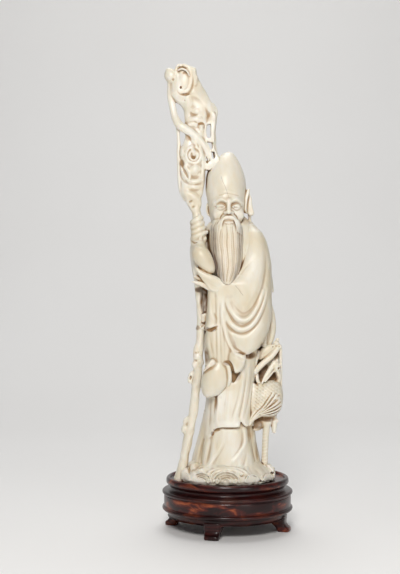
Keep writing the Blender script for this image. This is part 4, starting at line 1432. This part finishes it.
def write_values(mesh, name, values):
    """Writes a value from 0 to 1 for each vertex, for the material to read."""
    layer = mesh.attributes.new(name, "FLOAT", "POINT")
    layer.data.foreach_set("value", np.clip(values, 0, 1).astype(np.float32))


def ink_on_beard(points):
    """Grey ink rubbed into the strands at both sides of the beard, from 0 to 1."""
    x, y, z = points.T
    streak = 0.5 + 0.5 * np.sin(x * 4.6 + 0.8 * np.sin(z * 0.13)) * np.sin(z * 0.11 + x * 1.1)
    left = np.interp(z, [163, 166, 172, 181, 187, 206, 212], [-5.6, -6, -7.2, -9, -11.2, -12.6, -13.4])
    right = np.interp(z, [163, 168, 175, 181, 204, 212], [4.8, 5.4, 7.2, 9.4, 10.6, 10.4])
    band = 0.95 * np.exp(-(((x - left) / 3.4) ** 2)) + 0.78 * np.exp(-(((x - right) / 2.6) ** 2))
    fade = smooth_step(215, 207, z) * smooth_step(160, 166, z)
    return band * fade * (0.45 + 0.55 * streak) * smooth_step(-6, -14, y)


def build_carving():
    """The pieces of ivory, with the values that their material reads."""
    near_gap, wide_gap = 1.1, 2.6
    clays = {name: part[0]() for name, part in PARTS.items()}
    filled, first, step = occupied(clays.values())
    near, wide = blur(filled, 1), blur(filled, 4)
    pieces = []
    for name, clay in clays.items():
        carve, triangles, crease_depth, brown = PARTS[name]
        vertices, faces = surface_net(clay)
        obj = mesh_object(name, vertices * MM, faces)
        thin(obj, triangles)
        mesh = obj.data
        count = len(mesh.vertices)
        points, normals = np.empty(count * 3, np.float32), np.empty(count * 3, np.float32)
        mesh.vertices.foreach_get("co", points)
        mesh.vertices.foreach_get("normal", normals)
        points, normals = points.reshape(-1, 3) / MM, normals.reshape(-1, 3)
        crease = -read_grid(blur(clay.field, 2), clay.first, clay.voxel, points) / clay.voxel
        dent = -read_grid(blur(clay.field, 5), clay.first, clay.voxel, points)
        around = read_grid(near, first, step, points + normals * near_gap)
        beyond = read_grid(wide, first, step, points + normals * wide_gap)
        write_values(mesh, "crease", 0.5 + crease_depth * crease)
        hollow = brown * (1.2 * (around - OPEN_NEAR) + 2.0 * (beyond - OPEN_WIDE) + 0.20 * dent)
        hollow = np.maximum(hollow, 0) + stains(points, normals)
        ink = np.zeros(count)
        if carve is carve_head:
            _, y, z = points.T
            ink = ink_on_beard(points)
            hollow += 0.25 * smooth_step(212, 200, z) * smooth_step(-14, -20, y)
        write_values(mesh, "hollow", hollow)
        write_values(mesh, "ink", ink)
        points[:, 2] += SEAT
        mesh.vertices.foreach_set("co", (points * MM).astype(np.float32).ravel())
        mesh.polygons.foreach_set("use_smooth", np.ones(len(mesh.polygons), bool))
        mesh.update()
        pieces.append(obj)
    return pieces


# The stand

STAND_PROFILE = [
    [0, 11], [46, 11], [48.2, 11.3], [48.9, 12.2], [49, 14.2], [49.4, 15.3], [51, 15.8], [53.4, 16.3],
    [54.4, 17.1], [54.6, 18], [54.3, 18.9], [53.3, 19.6], [52.9, 20], [53.1, 20.7], [53.2, 24.6],
    [53.1, 28.4], [52.9, 29.1], [53.3, 29.5], [54.3, 30.3], [54.6, 31.3], [54.3, 32.2], [53, 32.9],
    [50.4, 33.3], [48.6, 33.9], [48, 35], [48.2, 36.4], [49, 37.3], [50.2, 37.8], [51.1, 38.9],
    [51.3, 40.5], [51, 42.2], [50.2, 43.2], [49, 43.5], [48.2, 43.2], [47.7, 42.4], [47.3, 41.7],
    [46.4, 41.6], [0, 41.6],
]


def smooth_object(name, mesh):
    """A smooth object from a bmesh."""
    data = bpy.data.meshes.new(name)
    mesh.to_mesh(data)
    mesh.free()
    data.polygons.foreach_set("use_smooth", np.ones(len(data.polygons), bool))
    return link(bpy.data.objects.new(name, data))


def turns_of(sides):
    """The angles of the corners of an even ring."""
    return [2 * math.pi * side / sides for side in range(sides)]


def add_stack(mesh, rings):
    """Adds a closed solid through rings of spots in millimetres, from the lowest up."""
    rings = [[mesh.verts.new([value * MM for value in spot]) for spot in ring] for ring in rings]
    for low, high in zip(rings, rings[1:]):
        for side, after in enumerate([*range(1, len(low)), 0]):
            mesh.faces.new((low[side], low[after], high[after], high[side]))
    mesh.faces.new(rings[0][::-1])
    mesh.faces.new(rings[-1])


def build_drum():
    """The turned drum, from a profile of [radius, height] around its axis."""
    path = smooth_path(STAND_PROFILE, 3)[1:-1]
    rings = []
    for radius, height in path:
        radius = max(radius, 0.5)
        rings.append([(radius * math.cos(t), radius * math.sin(t), height) for t in turns_of(160)])
    mesh = bmesh.new()
    add_stack(mesh, rings)
    return smooth_object("stand_drum", mesh)


def build_feet():
    """The four low feet, that taper down to a toe turned outwards."""
    rows = [
        [0, 43.9, 53, -5.7, 5.7], [0.9, 43.3, 53.7, -6.1, 6.1], [2.6, 42.4, 53.6, -6.2, 6.2],
        [4.6, 40.6, 51.4, -6.3, 6.3], [6.6, 38.6, 50.2, -6.8, 6.8], [9, 36.8, 50, -7.6, 7.6],
        [10.6, 36, 50.3, -7.8, 7.8], [13, 35.8, 50.3, -7.8, 7.8],
    ]
    mesh = bmesh.new()
    heights = np.linspace(0, rows[-1][0], 27)
    for degrees in (-106, -16, 74, 164):
        turn = math.radians(degrees)
        rings = []
        for height, (inner, outer, left, right) in zip(heights, between(rows, heights)):
            ring = []
            for angle in turns_of(40):
                cos, sin = math.cos(angle), math.sin(angle)
                reach = (outer + inner) / 2 + math.copysign(abs(cos) ** 0.5, cos) * (outer - inner) / 2
                across = math.copysign(abs(sin) ** 0.5, sin) * (right - left) / 2
                x = reach * math.cos(turn) - across * math.sin(turn)
                y = reach * math.sin(turn) + across * math.cos(turn)
                ring.append((x, y, height))
            rings.append(ring)
        add_stack(mesh, rings)
    return smooth_object("stand_feet", mesh)


# Materials


class Nodes:
    """A material's node tree, with short ways to add and join nodes."""

    def __init__(self, name):
        self.material = bpy.data.materials.new(name)
        self.material.use_nodes = True
        self.tree = self.material.node_tree
        self.shader = self.tree.nodes["Principled BSDF"]
        self.place = self.add("ShaderNodeTexCoord").outputs["Object"]

    def add(self, kind, inputs=None, **settings):
        node = self.tree.nodes.new(kind)
        for key, value in settings.items():
            setattr(node, key, value)
        for key, value in (inputs or {}).items():
            self.put(node.inputs[key], value)
        return node

    def put(self, socket, value):
        """Joins a node's output to a socket, or sets a constant on it."""
        if isinstance(value, bpy.types.NodeSocket):
            self.tree.links.new(value, socket)
        else:
            socket.default_value = value

    def math(self, operation, a, b, clamp=False):
        node = self.add("ShaderNodeMath", {0: a, 1: b}, operation=operation, use_clamp=clamp)
        return node.outputs[0]

    def vector(self, operation, a, b=None):
        """A vector operation; its length and dot product come as a value."""
        inputs = {0: a} if b is None else {0: a, 1: b}
        node = self.add("ShaderNodeVectorMath", inputs, operation=operation)
        return node.outputs["Value" if operation in ("LENGTH", "DOT_PRODUCT") else "Vector"]

    def share(self, value, amount):
        """A value times an amount."""
        return self.math("MULTIPLY", value, amount)

    def noise(self, scale, detail, stretch=(1, 1, 1), rough=0.5, distortion=0.0):
        """Noise with features about scale metres apart, drawn out along the axes."""
        sizes = tuple(1 / (scale * s) for s in stretch)
        spot = self.add("ShaderNodeMapping", {"Vector": self.place, "Scale": sizes}).outputs[0]
        node = self.add(
            "ShaderNodeTexNoise",
            {"Vector": spot, "Scale": 1.0, "Detail": detail, "Roughness": rough, "Distortion": distortion},
        )
        return node.outputs["Fac"]

    def ramp(self, value, stops):
        """Colours or greys at places from 0 to 1."""
        node = self.add("ShaderNodeValToRGB", {"Fac": value})
        elements = node.color_ramp.elements
        while len(elements) < len(stops):
            elements.new(0.5)
        for element, (place, colour) in zip(elements, stops):
            element.position = place
            element.color = (*colour, 1) if isinstance(colour, tuple) else (colour, colour, colour, 1)
        return node.outputs["Color"]

    def mix(self, share, a, b):
        """Colour a with a share of colour b."""
        node = self.add("ShaderNodeMix", data_type="RGBA")
        self.put(node.inputs[0], share)
        for socket, value in ((node.inputs[6], a), (node.inputs[7], b)):
            self.put(socket, (*value, 1) if isinstance(value, tuple) and len(value) == 3 else value)
        return node.outputs[2]

    def value(self, name):
        """A value that the mesh has for each vertex."""
        return self.add("ShaderNodeAttribute", attribute_name=name).outputs["Fac"]

    def bump(self, height, strength, distance):
        """Fine unevenness of the surface."""
        node = self.add("ShaderNodeBump", {"Height": height, "Strength": strength, "Distance": distance})
        self.tree.links.new(node.outputs[0], self.shader.inputs["Normal"])

    def hairline(self, points, width):
        """1 on a thin wandering line through points in millimetres, and 0 away from it."""
        wander = self.add("ShaderNodeTexNoise", {"Vector": self.place, "Scale": 420.0, "Detail": 2.0})
        shift = self.vector("SUBTRACT", wander.outputs["Color"], (0.5, 0.5, 0.5))
        spot = self.vector("ADD", self.place, self.vector("MULTIPLY", shift, (0.0007, 0, 0.0007)))
        nearest = None
        for a, b in zip(points, points[1:]):
            start = Vector((a[0], a[1], a[2] + SEAT)) * MM
            along = Vector((b[0], b[1], b[2] + SEAT)) * MM - start
            off = self.vector("SUBTRACT", spot, start)
            dot = self.vector("DOT_PRODUCT", off, along / along.length_squared)
            foot = self.add("ShaderNodeVectorMath", {0: along}, operation="SCALE")
            self.put(foot.inputs["Scale"], self.math("MULTIPLY", dot, 1.0, clamp=True))
            gap = self.vector("MULTIPLY", self.vector("SUBTRACT", off, foot.outputs[0]), (1, 0.12, 1))
            gap = self.vector("LENGTH", gap)
            nearest = gap if nearest is None else self.math("MINIMUM", nearest, gap)
        fade = self.math("DIVIDE", nearest, width * MM)
        return self.math("SUBTRACT", 1.0, fade, clamp=True)


def ivory_material():
    """Polished old ivory: warm cream, brown in the hollows, fine grain and hairlines."""
    n = Nodes("old_ivory")
    hollow, crease, ink = n.value("hollow"), n.value("crease"), n.value("ink")
    cloud = n.noise(0.022, 3, (1, 1, 2.4))
    patch = n.noise(0.007, 4, (1, 1, 1.6), 0.6)
    grain = n.noise(0.0011, 3, (1, 1, 22), 0.6, 0.3)
    fleck = n.noise(0.0016, 2)
    deep, mid, pale = (0.635, 0.565, 0.42), (0.725, 0.68, 0.57), (0.805, 0.78, 0.71)
    tone = n.ramp(cloud, [(0.32, deep), (0.5, mid), (0.68, pale)])
    honey, straw = (0.74, 0.61, 0.40), (0.74, 0.62, 0.42)
    tone = n.mix(n.share(n.ramp(patch, [(0.42, 0), (0.72, 1)]), 0.3), tone, honey)
    tone = n.mix(n.share(n.ramp(grain, [(0.4, 1), (0.58, 0)]), 0.16), tone, straw)
    stain = n.ramp(hollow, [(0.09, 0), (0.28, 0.36), (0.5, 0.84), (0.75, 1)])
    stain = n.math("MULTIPLY", stain, n.math("ADD", 0.62, n.share(patch, 0.8)), clamp=True)
    tan, brown, umber = (0.70, 0.53, 0.30), (0.43, 0.26, 0.11), (0.15, 0.072, 0.024)
    tone = n.mix(stain, tone, n.ramp(stain, [(0.0, tan), (0.5, brown), (1.0, umber)]))
    fine = n.ramp(crease, [(0.54, 0), (0.64, 0.5), (0.82, 1)])
    tone = n.mix(n.share(fine, 0.72), tone, (0.34, 0.20, 0.085))
    worn = n.ramp(crease, [(0.22, 1), (0.42, 0)])
    tone = n.mix(n.share(worn, 0.4), tone, (0.90, 0.875, 0.80))
    strands = n.noise(0.0009, 2, (1, 1, 16), 0.6)
    grey = n.math("MULTIPLY", ink, n.ramp(strands, [(0.36, 1), (0.62, 0.6)]))
    grey = n.math("MULTIPLY", grey, n.math("ADD", 1.0, n.share(fine, 0.5)), clamp=True)
    tone = n.mix(grey, tone, (0.15, 0.128, 0.125))
    forehead = n.hairline(
        [(-5.6, -20, 251), (-4, -21.4, 246), (-1.4, -22, 240), (0.6, -21.8, 233.5)], 0.34
    )
    robe = n.hairline([(-22.6, -28, 40.8), (-18.6, -29, 39.4), (-14.2, -29.5, 39.2)], 0.45)
    sleeve = n.hairline([(5.8, -35, 161), (9, -35, 157), (11.8, -35, 153.4)], 0.35)
    cracks = n.math("MAXIMUM", n.math("MAXIMUM", forehead, robe), sleeve)
    cracks = n.math("MULTIPLY", cracks, n.ramp(fleck, [(0.3, 0.45), (0.6, 1)]))
    tone = n.mix(n.share(cracks, 0.62), tone, (0.22, 0.15, 0.095))
    shader = n.shader
    n.put(shader.inputs["Base Color"], tone)
    rough = n.math("ADD", 0.30, n.share(patch, 0.14))
    n.put(shader.inputs["Roughness"], n.math("ADD", rough, n.share(stain, 0.3)))
    shader.inputs["IOR"].default_value = 1.54
    shader.inputs["Subsurface Weight"].default_value = 0.18
    shader.inputs["Subsurface Radius"].default_value = (1, 0.62, 0.35)
    shader.inputs["Subsurface Scale"].default_value = 0.0012
    height = n.math("ADD", n.share(grain, 0.5), n.share(fleck, 0.3))
    height = n.math("SUBTRACT", height, n.share(cracks, 0.8))
    n.bump(height, 0.35, 0.00012)
    return n.material


def wood_material():
    """Dark red-brown hardwood, polished, with orange mottling where the grain opens."""
    n = Nodes("polished_hardwood")
    grain = n.noise(0.0016, 5, (9, 9, 1), 0.62, 0.5)
    broad = n.noise(0.011, 4, (2, 2, 0.7), 0.6, 0.8)
    pores = n.noise(0.00055, 2, (9, 9, 1), 0.6)
    black, dark, red = (0.004, 0.001, 0.001), (0.016, 0.0025, 0.0025), (0.055, 0.007, 0.006)
    tone = n.ramp(grain, [(0.30, black), (0.5, dark), (0.72, red)])
    umber, russet, orange = (0.012, 0.002, 0.002), (0.09, 0.012, 0.008), (0.42, 0.10, 0.032)
    rich = n.ramp(broad, [(0.44, umber), (0.55, russet), (0.68, orange)])
    height = n.add("ShaderNodeSeparateXYZ", {0: n.place}).outputs["Z"]
    mottled = [
        (0.02, 0.9), (0.2, 0.2), (0.38, 0.3), (0.42, 1), (0.56, 1), (0.61, 0.15), (0.74, 0.1), (0.8, 0.7),
    ]
    band_height = 0.05
    band = n.ramp(n.math("DIVIDE", height, band_height), mottled)
    tone = n.mix(n.share(band, 0.72), tone, rich)
    tone = n.mix(n.share(n.ramp(pores, [(0.3, 1), (0.42, 0)]), 0.6), tone, (0.006, 0.003, 0.003))
    shader = n.shader
    n.put(shader.inputs["Base Color"], tone)
    n.put(shader.inputs["Roughness"], n.math("ADD", 0.22, n.share(broad, 0.2)))
    shader.inputs["Specular IOR Level"].default_value = 0.25
    shader.inputs["Coat Weight"].default_value = 0.2
    shader.inputs["Coat Roughness"].default_value = 0.10
    n.bump(n.math("ADD", n.share(pores, 0.6), n.share(grain, 0.4)), 0.4, 0.00015)
    return n.material


def floor_material():
    """Plain pale grey, a little uneven."""
    n = Nodes("pale_floor")
    tone = n.mix(n.noise(0.4, 2), (0.84, 0.83, 0.815), (0.88, 0.875, 0.865))
    n.put(n.shader.inputs["Base Color"], tone)
    n.shader.inputs["Roughness"].default_value = 0.75
    return n.material


# The scene


def area_light(name, place, aim, size, power, colour=(1, 1, 1)):
    """A round soft light at a place, aimed at another."""
    light = bpy.data.lights.new(name, "AREA")
    light.shape = "DISK"
    light.size = size
    light.energy = power
    light.color = colour
    obj = link(bpy.data.objects.new(name, light))
    obj.location = place
    obj.rotation_euler = (Vector(aim) - Vector(place)).to_track_quat("-Z", "Y").to_euler()


def build_floor():
    """A floor that bends up into a backdrop."""
    front, bend_start, bend = -1.6, 0.7, 0.9
    flat_steps, bend_steps = 6, 18
    spots = []
    for step in range(flat_steps + 1):
        spots.append((front + (bend_start - front) * step / flat_steps, 0.0))
    for step in range(1, bend_steps + 1):
        angle = math.radians(90 * step / bend_steps)
        spots.append((bend_start + bend * math.sin(angle), bend * (1 - math.cos(angle))))
    spots.append((bend_start + bend, 2.6))
    floor = bmesh.new()
    rows = [[floor.verts.new((x, y, z)) for x in (-3, 3)] for y, z in spots]
    for low, high in zip(rows, rows[1:]):
        floor.faces.new((low[0], low[1], high[1], high[0]))
    obj = smooth_object("floor", floor)
    obj.data.materials.append(floor_material())


def build_stage():
    """The floor, the lights, the grey surroundings and the camera of the photo."""
    build_floor()
    warm = (1, 0.98, 0.955)
    area_light("key_light", (-0.12, -1.26, 0.86), (0, 0, 0.24), 0.42, 13.4, warm)
    area_light("fill_light", (0.7, -1.2, 0.22), (0, 0, 0.14), 0.5, 2.4, (1, 0.97, 0.93))
    area_light("floor_light", (0, 0.5, 1.9), (0, 0.6, 0), 1.2, 16)

    scene = bpy.context.scene
    world = bpy.data.worlds.new("studio")
    world.use_nodes = True
    background = world.node_tree.nodes["Background"]
    background.inputs["Color"].default_value = (0.84, 0.85, 0.87, 1)
    background.inputs["Strength"].default_value = 0.2
    scene.world = world
    scene.view_settings.view_transform = "Standard"

    image_height, focal_pixels, sensor = 574, 1133, 36
    camera = bpy.data.cameras.new("camera")
    camera.lens = focal_pixels / image_height * sensor
    camera.sensor_width = sensor
    obj = link(bpy.data.objects.new("camera", camera))
    obj.location = (-0.023, -0.952, 0.202)
    obj.rotation_euler = (math.radians(90), 0, 0)
    scene.camera = obj


ivory, wood = ivory_material(), wood_material()
for piece in build_carving():
    piece.data.materials.append(ivory)
    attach(piece, "root")
    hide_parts("shou_lao_carving")
for piece in (build_drum(), build_feet()):
    piece.data.materials.append(wood)
    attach(piece, "root")
    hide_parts("hardwood_stand")
build_stage()
